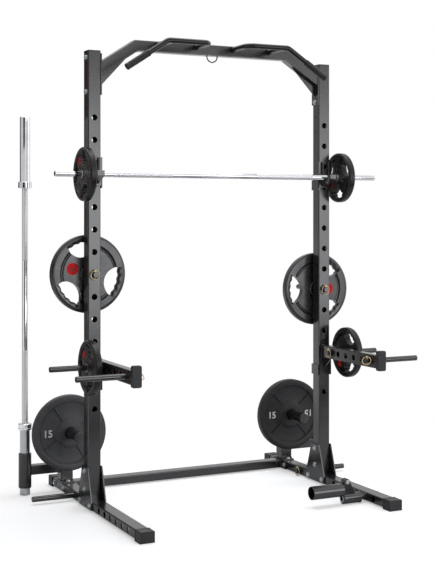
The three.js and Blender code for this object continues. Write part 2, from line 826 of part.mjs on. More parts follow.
// Storage pegs. Each is drawn along +X from its linch pin, which stands at the origin, and has
// the pin and the pin's eyed head on it. The wire ring hangs in the eye of the head.
const eyeZ = pegRadius + linchHeadTall / 2;
// The wire bends by this much between the eye's middle and its rim.
const ringSag = linchHead * Math.tan(Math.PI / ringSteps);
const eyeBore = (ringWire + (ringSag + seatGap) / 2) / Math.cos(Math.PI / pinSides);

function storagePeg(turn) {
  const head = cut(
    rod('z', linchHead, [pegRadius - linchRadius, pegRadius + linchHeadTall], [0, 0, 0], pinSides),
    rod('y', eyeBore, span(0, (linchHead + cutOver) * 2), [0, 0, eyeZ], pinSides),
  );
  const turned = moved(head, new THREE.Matrix4().makeRotationZ(turn));
  return join(
    rod('x', pegRadius, [-pinInset, pegLong - pinInset], [0, 0, 0], holeSides),
    rod('z', linchRadius, [-linchTail, pegRadius], [0, 0, 0], pinSides),
    turned,
  );
}

// The ring is drawn hanging down from the eye, in the plane square to the peg.
function linchRing() {
  const geometry = new THREE.TorusGeometry(ringRadius, ringWire, ringSides, ringSteps);
  geometry.translate(0, ringSag / 2 - ringRadius, 0);
  return stand(geometry, 'x', [0, 0, 0]);
}

const pegClosed = storagePeg(0);
const pegOpen = storagePeg(ringTurn);
const pegMirror = moved(pegOpen, flipX);
const ringBody = linchRing();

// One peg and its ring, at the place of its linch pin. The heading turns +X to the peg's way out.
function pegAndRing(name, place, heading, body, ringTurns) {
  const stem = new THREE.Group();
  stem.position.set(...place);
  rack.add(stem);
  piece(`${name}_peg`, body, 'coat', [0, 0, 0], [0, 0, heading], stem);
  const ring = piece(`${name}_ring`, ringBody, 'yellow', [0, 0, eyeZ], [0, 0, 0], stem);
  ring.rotation.order = 'ZYX';
  ring.rotation.set(...ringTurns);
}

const armIn = halfSpread - armWide / 2 - pegOut;
const railIn = halfSpread - railWide / 2 - pegOut;
for (const [name, side] of [['left', -1], ['right', 1]]) {
  const heading = side < 0 ? Math.PI : 0;
  const nearPlace = [side * armIn, armHoleY(0), armZ];
  pegAndRing(`arm_${name}_near`, nearPlace, heading, pegClosed, [0, 0, 0]);
  const farPlace = [side * armIn, armHoleY(armHoleCount - 1), armZ];
  const farBody = side < 0 ? pegMirror : pegOpen;
  pegAndRing(`arm_${name}_far`, farPlace, 0, farBody, [0, side * ringLean, side * ringTurn]);
  const basePlace = [side * railIn, storeHoleY, railMiddle];
  pegAndRing(`base_${name}`, basePlace, heading, pegClosed, [0, 0, 0]);
  const backPlace = [side * halfSpread, frontFace - pegOut, side < 0 ? backPegLeft : backPegRight];
  pegAndRing(`back_${name}`, backPlace, quarter, pegClosed, [0, 0, quarter]);
}

// Barbell across the J-hooks.
function barbell() {
  const end = barRadius - barEdge;
  return lathe('x', [
    [0, barLeft], [end, barLeft], [barRadius, barLeft + barEdge], [barRadius, barRight - barEdge],
    [end, barRight], [0, barRight],
  ], [0, 0, 0], tubeSides);
}

piece('barbell', barbell(), 'chrome', [0, barY, barZ]);

// Where two circles about (0, 0) and (out, 0) meet, above the line between them.
function circlesMeet(radius, otherRadius, out) {
  const a = (radius * radius - otherRadius * otherRadius + out * out) / (out * 2);
  return [a, Math.sqrt(radius * radius - a * a)];
}

// The outline of a hand opening, pointing along +X: the ring's inner edge outside, a lobe
// towards the hub inside, and rounded corners where they meet.
function openingOutline(radius) {
  const [ring, lobe, out, corner] = [
    openShares.ring * radius, openShares.lobe * radius, openShares.lobeOut * radius, openShares.corner * radius,
  ];
  const [cx, cy] = circlesMeet(ring - corner, lobe - corner, out);
  const ringAngle = Math.atan2(cy, cx);
  const lobeAngle = Math.atan2(cy, cx - out);
  const upper = [
    ...arc([0, 0], ring, 0, ringAngle, bendSteps - 2),
    ...arc([cx, cy], corner, ringAngle, lobeAngle, 2).slice(1, -1),
    ...arc([out, 0], lobe, lobeAngle, Math.PI, bendSteps),
  ];
  const lower = upper.slice(1, -1).reverse().map(([x, y]) => [x, -y]);
  return [...upper, ...lower];
}

// A weight plate with a thick rounded ring, three dished sectors and a hub.
function gripPlate(axis, radius, thick, spin, sides) {
  const half = thick / 2;
  const share = faceShares;
  const front = [
    [plateBore, half * share.hubTall],
    [radius * share.hub, half * share.hubTall],
    [radius * share.hubFoot, half * share.web],
    [radius * share.dish, half * share.web],
    [radius * share.crown, half],
    [radius, half * share.web],
  ];
  const profile = [...front, ...front.map(([r, h]) => [r, -h]).reverse()];
  const opening = openingOutline(radius);
  const through = span(0, thick + cutOver * 2);
  const openings = [0, 1, 2].map((k) => {
    const turn = spin + full * k / 3;
    const outline = opening.map(([x, y]) => [
      x * Math.cos(turn) - y * Math.sin(turn), x * Math.sin(turn) + y * Math.cos(turn),
    ]);
    return sheet(axis, outline, through);
  });
  return cut(lathe(axis, profile, [0, 0, 0], sides), ...openings);
}

// How far a plate hangs below the rod that carries it.
const hangOnBar = plateBore - barRadius - seatGap;
const hangOnPeg = plateBore - pegRadius - seatGap;
const hangOnHorn = ironBore - hornRadius - seatGap;

// Seen from the lifter's left the +Y axis runs to the left, so spins on X count from -Y.
const fromMinusY = (spin) => Math.PI - spin;
const smallPlate = (spin) => gripPlate('x', smallRadius, smallThick, fromMinusY(spin), smallPlateSides);
const largePlate = (spin) => gripPlate('y', largeRadius, largeThick, spin, largePlateSides);
piece('bar_plate_left', smallPlate(spinBarLeft), 'rubber', [barPlateLeftX, barY, barZ - hangOnBar]);
piece('bar_plate_right', smallPlate(spinBarRight), 'rubber', [barPlateRightX, barY, barZ - hangOnBar]);
const armPlateZ = armZ - hangOnPeg;
piece('arm_plate_left', smallPlate(spinArmLeft), 'rubber', [armPlateLeftX, armHoleY(0), armPlateZ]);
piece('arm_plate_right', smallPlate(spinArmRight), 'rubber', [armPlateRightX, armHoleY(0), armPlateZ]);
piece('back_plate_left', largePlate(spinBackLeft), 'rubber', [-halfSpread, backPlateY, backPegLeft - hangOnPeg]);
piece('back_plate_right', largePlate(spinBackRight), 'rubber', [halfSpread, backPlateY, backPegRight - hangOnPeg]);

// A cast plate with a raised hub and rim and four ribs between them, the same on both faces.
function ironPlate(spin) {
  const half = ironThick / 2;
  const share = ironShares;
  const front = [
    [ironBore, half],
    [ironRadius * share.hub, half * share.rim],
    [ironRadius * share.hubFoot, half * share.web],
    [ironRadius * share.rimIn, half * share.web],
    [ironRadius * share.rimOut, half * share.rim],
    [ironRadius, half * share.rim],
  ];
  const profile = [...front, ...front.map(([r, h]) => [r, -h]).reverse()];
  const from = ironRadius * (share.hub + share.hubFoot) / 2;
  const to = ironRadius * (share.rimIn + share.rimOut) / 2;
  const ribs = [0, 1, 2, 3].map((k) => {
    const turn = spin + quarter * k;
    const rib = [[from, -ironRibWide / 2], [to, -ironRibWide / 2], [to, ironRibWide / 2], [from, ironRibWide / 2]];
    const outline = rib.map(([x, y]) => [
      x * Math.cos(turn) - y * Math.sin(turn), x * Math.sin(turn) + y * Math.cos(turn),
    ]);
    return sheet('y', outline, span(0, ironThick * ironRibShare));
  });
  return join(lathe('y', profile, [0, 0, 0], largePlateSides), ...ribs);
}

const ironY = crossY - postWide / 2 - ironGapToPost - ironThick / 2;
piece('horn_plate_left', ironPlate(spinIronLeft), 'iron', [-halfSpread, ironY, hornZ - hangOnHorn]);
piece('horn_plate_right', ironPlate(spinIronRight), 'iron', [halfSpread, ironY, hornZ - hangOnHorn]);

// Long bar: a shaft whose two end sleeves turn on it. The lower sleeve stands in the holder.
function endSleeve() {
  const bore = turningBore(shaftRadius, tubeSides);
  const collarAt = endLong - endCollar;
  return lathe('z', [
    [0, 0], [endRadius - barEdge, 0], [endRadius, barEdge], [endRadius, collarAt],
    [endCollarRadius, collarAt], [endCollarRadius, endLong], [bore, endLong], [bore, endFloor], [0, endFloor],
  ], [0, 0, 0], tubeSides);
}

const sleeveShape = endSleeve();
const shaftReach = [endFloor + seatGap, longBarTop - endFloor - seatGap];
const longBar = new THREE.Group();
longBar.position.set(-holderX, crossY, 0);
rack.add(longBar);
piece('long_bar_shaft', rod('z', shaftRadius, shaftReach, [0, 0, 0], tubeSides), 'chrome',
  [0, 0, 0], [0, 0, 0], longBar);
piece('long_bar_sleeve_lower', sleeveShape, 'chrome', [0, 0, 0], [0, 0, 0], longBar);
piece('long_bar_sleeve_upper', sleeveShape, 'chrome', [0, 0, longBarTop], [Math.PI, 0, 0], longBar);

// Floor swivel: a pin in a rail hole, a sleeve with a clevis that rolls on it, and a short open
// tube that takes a bar's end and tips up in the clevis.
const swivelY = railHoleY(swivelHole);

function swivelPin() {
  const at = [0, swivelY, railMiddle];
  const nutFace = halfSpread + railWide / 2;
  const washerEnd = swivelLeft - seatGap;
  const headEnd = washerEnd - pinWasherThick;
  return join(
    rod('x', pinRadius, [headEnd, nutFace + pinNut], at, holeSides),
    rod('x', pinWasher, [headEnd, washerEnd], at),
    hexHead('x', [headEnd - hexTall + pinWasherThick, headEnd], at),
    rod('x', pinShoulder, [innerFace - plateThick, innerFace], at),
    hexHead('x', [nutFace, nutFace + pinNut], at, pinShoulder),
  );
}

function swivel() {
  const at = [0, swivelY, railMiddle];
  const pivot = [pivotX, pivotZ];
  const outline = [
    [earFootLeft, earFoot], [earFootRight, earFoot],
    ...arc(pivot, earRadius, quarter / 4, Math.PI, bendSteps),
  ];
  const inner = lugThick / 2 + seatGap;
  const ears = [-1, 1].map((side) => {
    const reach = [swivelY + side * inner, swivelY + side * (inner + earThick)].sort((a, b) => a - b);
    return sheet('y', outline, reach);
  });
  const boltBore = rod('y', turningBore(boltRadius, rodSides), span(swivelY, (inner + earThick + cutOver) * 2),
    [pivotX, 0, pivotZ]);
  return cut(
    join(
      rod('x', swivelRadius, [swivelLeft, swivelRight], at, tubeSides),
      rod('x', swivelLipRadius, [swivelRight - swivelLip, swivelRight], at, tubeSides),
      ...ears,
    ),
    rod('x', turningBore(pinRadius, tubeSides), [swivelLeft - cutOver, swivelRight + cutOver], at, tubeSides),
    boltBore,
  );
}

function swivelTube() {
  const at = [0, swivelY, sleeveTubeZ];
  const plateIn = sleeveTubeRight - plateThick;
  const lug = [
    [plateIn, lugRootLow], ...arc([pivotX, pivotZ], earRadius, -quarter, quarter * 1.5, bendSteps),
    [plateIn, lugRootHigh],
  ];
  return cut(
    join(
      rod('x', sleeveTubeRadius, [sleeveTubeLeft, sleeveTubeRight], at, tubeSides),
      sheet('y', lug, span(swivelY, lugThick)),
    ),
    rod('x', sleeveTubeRadius - tubeWall, [sleeveTubeLeft - cutOver, plateIn], at, tubeSides),
    rod('y', turningBore(boltRadius, rodSides), span(swivelY, lugThick + cutOver * 2), [pivotX, 0, pivotZ]),
  );
}

function pivotBolt() {
  const face = lugThick / 2 + seatGap + earThick;
  const at = [pivotX, 0, pivotZ];
  return join(
    rod('y', boltRadius, span(swivelY, face * 2 + hexTall), at),
    hexHead('y', [swivelY - face - hexTall, swivelY - face], at),
    hexHead('y', [swivelY + face, swivelY + face + hexTall], at),
  );
}

piece('swivel_pin', swivelPin(), 'coat');
piece('swivel_clevis', swivel(), 'coat');
piece('swivel_tube', swivelTube(), 'coat');
piece('swivel_bolt', pivotBolt(), 'zinc');

// The origin is on the floor, in the middle of the rack's footprint.
rack.updateMatrixWorld(true);
const extent = new THREE.Box3().setFromObject(rack, true);
rack.position.set(-(extent.min.x + extent.max.x) / 2, -(extent.min.y + extent.max.y) / 2, -extent.min.z);
rack.updateMatrixWorld(true);

export default rack;
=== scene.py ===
# A barbell rack with its bars, plates and pegs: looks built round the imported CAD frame.
# Shapes are drawn in millimetres and turned into metres when a piece is built.
import math

import bmesh
import bpy
from mathutils import Matrix, Vector


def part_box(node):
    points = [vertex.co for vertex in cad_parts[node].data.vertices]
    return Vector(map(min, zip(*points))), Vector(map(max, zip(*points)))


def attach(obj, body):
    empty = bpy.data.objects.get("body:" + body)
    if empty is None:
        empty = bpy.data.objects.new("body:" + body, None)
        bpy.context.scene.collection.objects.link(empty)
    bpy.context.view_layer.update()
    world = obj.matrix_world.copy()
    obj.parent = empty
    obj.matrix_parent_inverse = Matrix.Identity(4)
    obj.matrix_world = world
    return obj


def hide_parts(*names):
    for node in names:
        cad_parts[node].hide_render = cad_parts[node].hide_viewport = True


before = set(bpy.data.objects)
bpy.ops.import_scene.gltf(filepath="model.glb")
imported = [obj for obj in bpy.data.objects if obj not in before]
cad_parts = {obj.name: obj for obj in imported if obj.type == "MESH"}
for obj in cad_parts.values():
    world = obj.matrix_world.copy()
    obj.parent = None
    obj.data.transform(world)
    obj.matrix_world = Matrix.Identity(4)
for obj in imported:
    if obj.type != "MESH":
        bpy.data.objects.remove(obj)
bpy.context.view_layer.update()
MM = 0.001
QUARTER = math.pi / 2
FULL = math.pi * 2


def middle(node):
    low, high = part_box(node)
    return (low + high) / 2 / MM


def reach(node, axis):
    low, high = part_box(node)
    return low[axis] / MM, high[axis] / MM


def span(node, axis):
    low, high = reach(node, axis)
    return high - low


# Where the rack stands: the middle lines of the two uprights.
LEFT_X = middle("upright_cap_left").x
RIGHT_X = middle("upright_cap_right").x
RACK_X = (LEFT_X + RIGHT_X) / 2
RACK_Y = middle("upright_cap_left").y
HALF_SPREAD = (RIGHT_X - LEFT_X) / 2
SIDES = {"left": -1, "right": 1}

# Tubes, rails and uprights
WALL = 3
CORNER = 5
PLATE = 6
RAIL_WIDE = 60
RAIL_TALL = 40
SOLE = 6
RAIL_FRONT = -637
RAIL_BACK = 524
RAIL_HOLE_FIRST = -166
STORE_HOLE = 163
PIN_PITCH = 68
PIN_HOLES = 6
UPRIGHT = 60
RAIL_TOP = SOLE + RAIL_TALL
RAIL_MIDDLE = SOLE + RAIL_TALL / 2
UPRIGHT_TOP = reach("upright_cap_left", 2)[1]
HOLE_PITCH = 100
HOLES = 14
TOP_HOLE_DOWN = 300
HOLE_RADIUS = 13.4
SMALL_HOLES_DOWN = (255, 329)
SMALL_HOLE_RADIUS = 4
CAP_HEAD = 3
INNER_FACE = HALF_SPREAD - UPRIGHT / 2

# Bolts
HEX_RADIUS = 10.2
HEX_TALL = 7.4
WASHER_RADIUS = 12.6
WASHER_THICK = 1.6
BOLT_RADIUS = 6

# Gussets and crossmember
GUSSET_FOOT = 84
GUSSET_HEAD = 36
GUSSET_TOP = 190
GUSSET_RAISE = 8
GUSSET_RAIL_BOLT = 64
GUSSET_BOLTS_UP = (88, 168)
CROSS_Y = 376
CROSS_DEEP = 60
FLANGE_HALF = 85
FLANGE_SPOTS = [(CROSS_Y + end * 64, RAIL_MIDDLE) for end in (-1, 1)]

# Rear posts
POST = 60
POST_TOP = 330
POST_FOOT_OVER = 25
POST_BOLT_OUT = 13
HORN_Z = 286
HORN_RADIUS = 24
HORN_FRONT = 165
HOLDER_OUT = 197
HOLDER_RADIUS = 30
HOLDER_BORE = 24.8
HOLDER_LOW = 34
HOLDER_HIGH = 195
HOLDER_ARM_Z = 115
HOLDER_ARM = 45

# Pull-up beam and grips
BEAM = 50
BEAM_TOP = reach("pullup_beam", 2)[1]
BEAM_BEND = 398
BEAM_SLOPE = math.radians(33)
BEAM_PLATE_LOW = 1848
BEAM_PLATE_HIGH = 2034
BEAM_BOLTS = (1862, 2015)
WEB_THICK = 5
WEB_RISE = 55
WEB_REACH = 129
EYE_RADIUS = 26.5
EYE_WIRE = 3
EYE_DROP = 28.5
GRIP_RADIUS = 12.5
GRIP_Z = 2088
GRIP_FRONT = -188
GRIP_INNER = 95
GRIP_BEND = 304.5
GRIP_END = 503
GRIP_CURL = 40
GRIP_STUB = 286
GRIP_SLEEVE = 125
GRIP_SLEEVE_WALL = 2.5

# J-hooks and spotter arms
FRONT_FACE = -UPRIGHT / 2
HOOK_FACE = FRONT_FACE - PLATE
SIDE_PLATE = 5
SIDE_BACK = 33
SEAT = 0.3
CLAMP_WIDE = UPRIGHT + (SEAT + SIDE_PLATE) * 2
HOOK_TOP = 1569
HOOK_PLATE_LOW = 1442
HOOK_SIDE = (1431, 1480)
HOOK_PIN_Z = 1546
HOOK_PIN_RADIUS = 12.5
HOOK_ARM_WIDE = 34
HOOK_ARM_LOW = 1450
HOOK_SLOPE = math.radians(23.5)
HOOK_REACH = 79
HOOK_LIP_TOP = 1508
LINER = 10
LINER_RIB = 9
LINER_GROOVE = 22
ARM_WIDE = 40
ARM_TALL = 60
ARM_Z = 646
ARM_FRONT = -513
ARM_HOLE_FIRST = -120
ARM_PLATE = (530, 671)
ARM_SIDE_HIGH = 580
ARM_WEB_REACH = 60
ARM_WEB_DROP = 50

# Pegs and linch pins
PEG_RADIUS = 12.5
LINCH_RADIUS = 3.5
LINCH_HEAD = 5.5
LINCH_HEAD_TALL = 9
LINCH_TAIL = 18
LINCH_IN = 9
RING_RADIUS = 20
RING_WIRE = 1.75

# Bars and plates. RING_IN and SCALLOP_DEPTH are shares of a plate's radius.
BAR_RADIUS = 13
BAR_EDGE = 2
BAR_KNURLS = ((-518, -228), (204, 506))
PLATE_BORE = 13.8
IRON_BORE = 25.2
IRON_NUMBER = 46
RING_IN = 0.83
SCALLOPS = 4
SCALLOP_DEPTH = 0.010
HANDLE_SPAN = math.radians(27.5)
SHAFT_RADIUS = 14
SHAFT_KNURLS = ((336, 677), (1094, 1434))
SLEEVE_LONG = 334
SLEEVE_RADIUS = 24
COLLAR_RADIUS = 32
COLLAR = 29

# Floor swivel
SWIVEL_Y = RAIL_HOLE_FIRST - 4 * PIN_PITCH
SWIVEL_RADIUS = 24
SWIVEL_LIP_RADIUS = 25.5
SWIVEL_LIP = 8
PIN_RADIUS = 12.5
PIVOT_X = 460
PIVOT_Z = 102
EAR_RADIUS = 16
EAR_THICK = 6
EAR_FOOT = 40
EAR_ENDS = (454, 510)
LUG_THICK = 12
LUG_ENDS = (62, 96)
TUBE_RADIUS = 30
TUBE_Z = 67
TUBE_END = 442
SWIVEL_HEAD = 18
SWIVEL_HEAD_TALL = 11
SWIVEL_WASHER = 16
PIVOT_HEAD_TALL = 8

# Studio, in metres. A card has a corner, two sides and a colour; a lamp a place, an aim, a size and watts.
WHITE = (1, 1, 1, 1)
WHITE_RAYS = ("Is Camera Ray", "Is Glossy Ray", "Is Transmission Ray")
FLOOR_HALF = 40.0
FLOOR_FADE = (1.2, 2.6)
FLOOR_GLOW = 0.44
FILL = 0.46
CARDS = {
    "floor_card": ((-1.6, -1.5, 0.0006), (7.0, 0.0, 0.0), (0.0, -6.5, 0.0), (0.012, 0.012, 0.013, 1)),
    "side_card": ((-2.72, -5.12, 0.02), (-2.8, 2.1, 0.0), (0.0, 0.0, 3.2), (0.006, 0.006, 0.007, 1)),
    "back_card": ((-1.02, 2.3, 0.02), (-1.9, -0.3, 0.0), (0.0, 0.0, 2.9), (0.10, 0.040, 0.030, 1)),
}
LAMP_COLOR = (0.96, 0.975, 1.0)
LAMPS = {
    "key": ((1.7, -5.0, 1.27), (0, 0, 1.27), (4.0, 2.1), 67),
    "side": ((3.8, -0.6, 2.6), (0, 0, 1.0), (2.0, 3.0), 22),
    "top": ((0.0, 0.4, 4.6), (0, 0, 0.6), (3.5, 3.0), 85),
}
LENS = 74.105
LENS_SHIFT = -0.1342
CAMERA_AT = (-2.4454, -4.9941, 1.3237)
CAMERA_TURN = math.radians(-25.961)


def shader_group(name, inputs, outputs):
    """A node group with its ends; the default of an input says whether it takes a number or a colour."""
    group = bpy.data.node_groups.new(name, "ShaderNodeTree")
    for label, value in inputs.items():
        kind = "Color" if isinstance(value, tuple) else "Float"
        socket = group.interface.new_socket(label, in_out="INPUT", socket_type="NodeSocket" + kind)
        socket.default_value = value
    for label, kind in outputs.items():
        group.interface.new_socket(label, in_out="OUTPUT", socket_type="NodeSocket" + kind)
    return group, group.nodes.new("NodeGroupInput"), group.nodes.new("NodeGroupOutput")


def node(tree, kind, sockets=None, **settings):
    made = tree.nodes.new(kind)
    for key, value in settings.items():
        setattr(made, key, value)
    for key, value in (sockets or {}).items():
        made.inputs[key].default_value = value
    return made


def linker(tree):
    """A function that joins two nodes of a tree, from an output of the one to an input of the other."""

    def link(source, output, target, entry):
        tree.links.new(source.outputs[output], target.inputs[entry])

    return link


def grain_group():
    """Fine bumps over a slow drift, for coats, rubber and castings."""
    group, given, out = shader_group(
        "grain", {"Fine": 900.0, "Slow": 7.0, "Depth": 0.1}, {"Drift": "Float", "Normal": "Vector"},
    )
    place = node(group, "ShaderNodeTexCoord")
    fine = node(group, "ShaderNodeTexNoise", {"Detail": 2.0, "Roughness": 0.6})
    slow = node(group, "ShaderNodeTexNoise", {"Detail": 4.0, "Roughness": 0.55})
    bump = node(group, "ShaderNodeBump", {"Distance": 0.0004})
    link = linker(group)
    link(place, "Object", fine, "Vector")
    link(place, "Object", slow, "Vector")
    link(given, "Fine", fine, "Scale")
    link(given, "Slow", slow, "Scale")
    link(given, "Depth", bump, "Strength")
    link(fine, "Fac", bump, "Height")
    link(slow, "Fac", out, "Drift")
    link(bump, "Normal", out, "Normal")
    return group


def blend_group():
    """Two tones and two roughnesses mixed by one mask."""
    group, given, out = shader_group(
        "two_tone",
        {
            "Mask": 0.5, "Low": 0.35, "High": 0.65, "Rough A": 0.4, "Rough B": 0.5,
            "Tone A": (0.05, 0.05, 0.05, 1), "Tone B": (0.08, 0.08, 0.08, 1),
        },
        {"Color": "Color", "Roughness": "Float"},
    )
    spread = node(group, "ShaderNodeMapRange")
    tones = node(group, "ShaderNodeMix", data_type="RGBA")
    rough = node(group, "ShaderNodeMix", data_type="FLOAT")
    link = linker(group)
    link(given, "Mask", spread, "Value")
    link(given, "Low", spread, "From Min")
    link(given, "High", spread, "From Max")
    link(spread, "Result", tones, 0)
    link(spread, "Result", rough, 0)
    link(given, "Tone A", tones, 6)
    link(given, "Tone B", tones, 7)
    link(given, "Rough A", rough, 2)
    link(given, "Rough B", rough, 3)
    link(tones, 2, out, "Color")
    link(rough, 0, out, "Roughness")
    return group


def knurl_group():
    """Diamonds cut into a bar, from the turn and run that its mesh carries."""
    group, given, out = shader_group(
        "knurl", {"Around": 40.0, "Along": 500.0, "Depth": 0.6}, {"Peaks": "Float", "Normal": "Vector"},
    )
    turn = node(group, "ShaderNodeUVMap", uv_map="turn")
    split = node(group, "ShaderNodeSeparateXYZ")
    around = node(group, "ShaderNodeMath", operation="MULTIPLY")
    along = node(group, "ShaderNodeMath", operation="MULTIPLY")
    peaks = node(group, "ShaderNodeMath", operation="MULTIPLY")
    bump = node(group, "ShaderNodeBump", {"Distance": 0.0006})
    link = linker(group)
    link(turn, "UV", split, "Vector")
    link(split, "X", around, 0)
    link(given, "Around", around, 1)
    link(split, "Y", along, 0)
    link(given, "Along", along, 1)
    for entry, operation in enumerate(("ADD", "SUBTRACT")):
        lean = node(group, "ShaderNodeMath", operation=operation)
        saw = node(group, "ShaderNodeMath", {1: 0.5}, operation="PINGPONG")
        link(around, 0, lean, 0)
        link(along, 0, lean, 1)
        link(lean, 0, saw, 0)
        link(saw, 0, peaks, entry)
    link(given, "Depth", bump, "Strength")
    link(peaks, 0, bump, "Height")
    link(peaks, 0, out, "Peaks")
    link(bump, "Normal", out, "Normal")
    return group


GRAIN = grain_group()
TWO_TONE = blend_group()
KNURL = knurl_group()


def principled(name, constants):
    material = bpy.data.materials.new(name)
    material.use_nodes = True
    shader = material.node_tree.nodes["Principled BSDF"]
    for label, value in constants.items():
        shader.inputs[label].default_value = value
    return material, material.node_tree, shader


def use_group(tree, group, values):
    made = tree.nodes.new("ShaderNodeGroup")
    made.node_tree = group
    for label, value in values.items():
        made.inputs[label].default_value = value
    return made


def finished(name, bumps, tones, roughs, constants, band):
    """A material of two tones, mixed by the mask of a group that also gives the bumps."""
    group, values, mask = bumps
    material, tree, shader = principled(name, constants)
    relief = use_group(tree, group, values)
    two = use_group(tree, TWO_TONE, {
        "Low": band[0], "High": band[1],
        "Tone A": (*tones[0], 1), "Tone B": (*tones[1], 1),
        "Rough A": roughs[0], "Rough B": roughs[1],
    })
    link = linker(tree)
    link(relief, mask, two, "Mask")
    link(two, "Color", shader, "Base Color")
    link(two, "Roughness", shader, "Roughness")
    link(relief, "Normal", shader, "Normal")
    return material


def grained(name, tones, roughs, grain, shine=0.5, metal=0.0):
    """Two close tones that drift into each other, under a fine grain."""
    bumps = (GRAIN, dict(zip(("Fine", "Slow", "Depth"), grain)), "Drift")
    constants = {"Specular IOR Level": shine, "Metallic": metal}
    return finished(name, bumps, tones, roughs, constants, (0.35, 0.65))


def knurled(name, around):
    """Chrome cut into diamonds, so many of them round the bar."""
    bumps = (KNURL, {"Around": around, "Along": 640.0, "Depth": 0.25}, "Peaks")
    # The valleys between the diamonds take the darker tone: painted shade in the cuts, with the peaks left
    # bright.
    tones = ((0.60, 0.60, 0.62), (0.92, 0.92, 0.93))
    return finished(name, bumps, tones, (0.55, 0.42), {"Metallic": 1.0}, (0.0, 0.2))


COAT = grained(
    "powder_coat", ((0.011, 0.011, 0.012), (0.018, 0.018, 0.020)),
    (0.17, 0.24), (1500.0, 5.0, 0.03), 0.9,
)
GLOSS = grained(
    "gloss_coat", ((0.006, 0.006, 0.007), (0.010, 0.010, 0.011)),
    (0.12, 0.18), (900.0, 12.0, 0.05), 0.35,
)
SLEEVE = grained(
    "grip_rubber", ((0.010, 0.010, 0.011), (0.017, 0.017, 0.018)),
    (0.45, 0.55), (1800.0, 40.0, 0.2), 0.4,
)
CAP = grained(
    "cap_rubber", ((0.012, 0.012, 0.013), (0.019, 0.019, 0.021)),
    (0.38, 0.5), (1300.0, 14.0, 0.2), 0.45,
)
RUBBER = grained(
    "plate_rubber", ((0.010, 0.010, 0.011), (0.024, 0.024, 0.026)),
    (0.24, 0.34), (1100.0, 18.0, 0.08), 0.8,
)
# A shaded copy of the plate rubber for the small plates, whose faces turn to the dim left of the studio:
# its darker tones are painted shade, and its lower shine keeps their raised marks quiet.
SHADED_RUBBER = grained(
    "shaded_plate_rubber", ((0.007, 0.006, 0.006), (0.014, 0.012, 0.012)),
    (0.30, 0.42), (1100.0, 18.0, 0.08), 0.35,
)
IRON = grained(
    "cast_iron", ((0.034, 0.034, 0.037), (0.052, 0.052, 0.056)),
    (0.42, 0.56), (420.0, 25.0, 0.25),
)
# A shaded copy of the cast iron for the right horn plate, which sits in less light: its darker tones and
# lower shine are painted shade.
SHADED_IRON = grained(
    "shaded_cast_iron", ((0.012, 0.012, 0.013), (0.022, 0.022, 0.024)),
    (0.42, 0.56), (420.0, 25.0, 0.25), 0.35,
)
NUMBER = grained(
    "number_paint", ((0.74, 0.74, 0.74), (0.86, 0.86, 0.86)),
    (0.5, 0.6), (700.0, 60.0, 0.2),
)
DARK_MARK = grained(
    "dark_mark", ((0.020, 0.012, 0.012), (0.034, 0.020, 0.020)),
    (0.45, 0.55), (700.0, 60.0, 0.2),
)
RED = grained(
    "red_badge", ((0.84, 0.006, 0.012), (0.95, 0.012, 0.020)),
    (0.45, 0.55), (800.0, 50.0, 0.1), 0.15,
)
LINER_FINISH = grained(
    "hook_liner", ((0.030, 0.030, 0.033), (0.045, 0.045, 0.049)),
    (0.45, 0.6), (1500.0, 30.0, 0.25),
)
ZINC = grained(
    "bright_zinc", ((0.52, 0.57, 0.61), (0.66, 0.70, 0.72)),
    (0.24, 0.38), (700.0, 60.0, 0.08), metal=1.0,
)
YELLOW = grained(
    "yellow_zinc", ((0.42, 0.30, 0.13), (0.66, 0.55, 0.33)),
    (0.24, 0.38), (700.0, 90.0, 0.08), metal=1.0,
)
CHROME = grained(
    "chrome", ((0.62, 0.63, 0.65), (0.72, 0.73, 0.75)),
    (0.05, 0.10), (500.0, 20.0, 0.02), metal=1.0,
)
STEEL = grained(
    "worn_steel", ((0.30, 0.30, 0.32), (0.42, 0.42, 0.44)),
    (0.3, 0.45), (900.0, 30.0, 0.2), metal=1.0,
)
BAR_KNURL = knurled("bar_knurl", 52.0)
SHAFT_KNURL = knurled("shaft_knurl", 56.0)


# Shapes: each is a list of points and a list of faces, in millimetres.
def lift(axis, across, up, along):
    """A point of a drawing in the plane square to the axis, at a height along it."""
    if axis == "x":
        return (along, across, up)
    if axis == "y":
        return (across, along, up)
    return (across, up, along)


def shift(shape, by):
    points, faces = shape
    return [tuple(p[k] + by[k] for k in range(3)) for p in points], faces


def turned(shape, matrix):
    points, faces = shape
    return [tuple(matrix @ Vector(p)) for p in points], faces


def joined(*shapes):
    points, faces = [], []
    for more_points, more_faces in shapes:
        start = len(points)
        points.extend(more_points)
        faces.extend([[k + start for k in face] for face in more_faces])
    return points, faces


def on_side(side, *shapes):
    """Shapes drawn about an upright's middle line, stood on the left (mirrored) or the right."""
    points, faces = joined(*shapes)
    x = RACK_X + side * HALF_SPREAD
    return [(x + side * p[0], RACK_Y + p[1], p[2]) for p in points], faces


def on_middle(*shapes):
    return shift(joined(*shapes), (RACK_X, RACK_Y, 0))


def mirrored(front):
    """The profile of a plate from its front half: radius and distance from the middle plane."""
    return front + [(r, -h) for r, h in reversed(front)]


def arc(centre, radius, start, end, steps):
    return [
        (centre[0] + radius * math.cos(start + (end - start) * k / steps),
         centre[1] + radius * math.sin(start + (end - start) * k / steps))
        for k in range(steps + 1)
    ]


def rounded(wide, tall, corner, steps=5):
    """A rectangle's outline with round corners, about its middle."""
    x, y = wide / 2 - corner, tall / 2 - corner
    centres = ((x, y), (-x, y), (-x, -y), (x, -y))
    return [
        p for k, centre in enumerate(centres)
        for p in arc(centre, corner, QUARTER * k, QUARTER * k + QUARTER, steps)
    ]


def circle(radius, sides):
    return arc((0, 0), radius, 0, FULL, sides)[:-1]


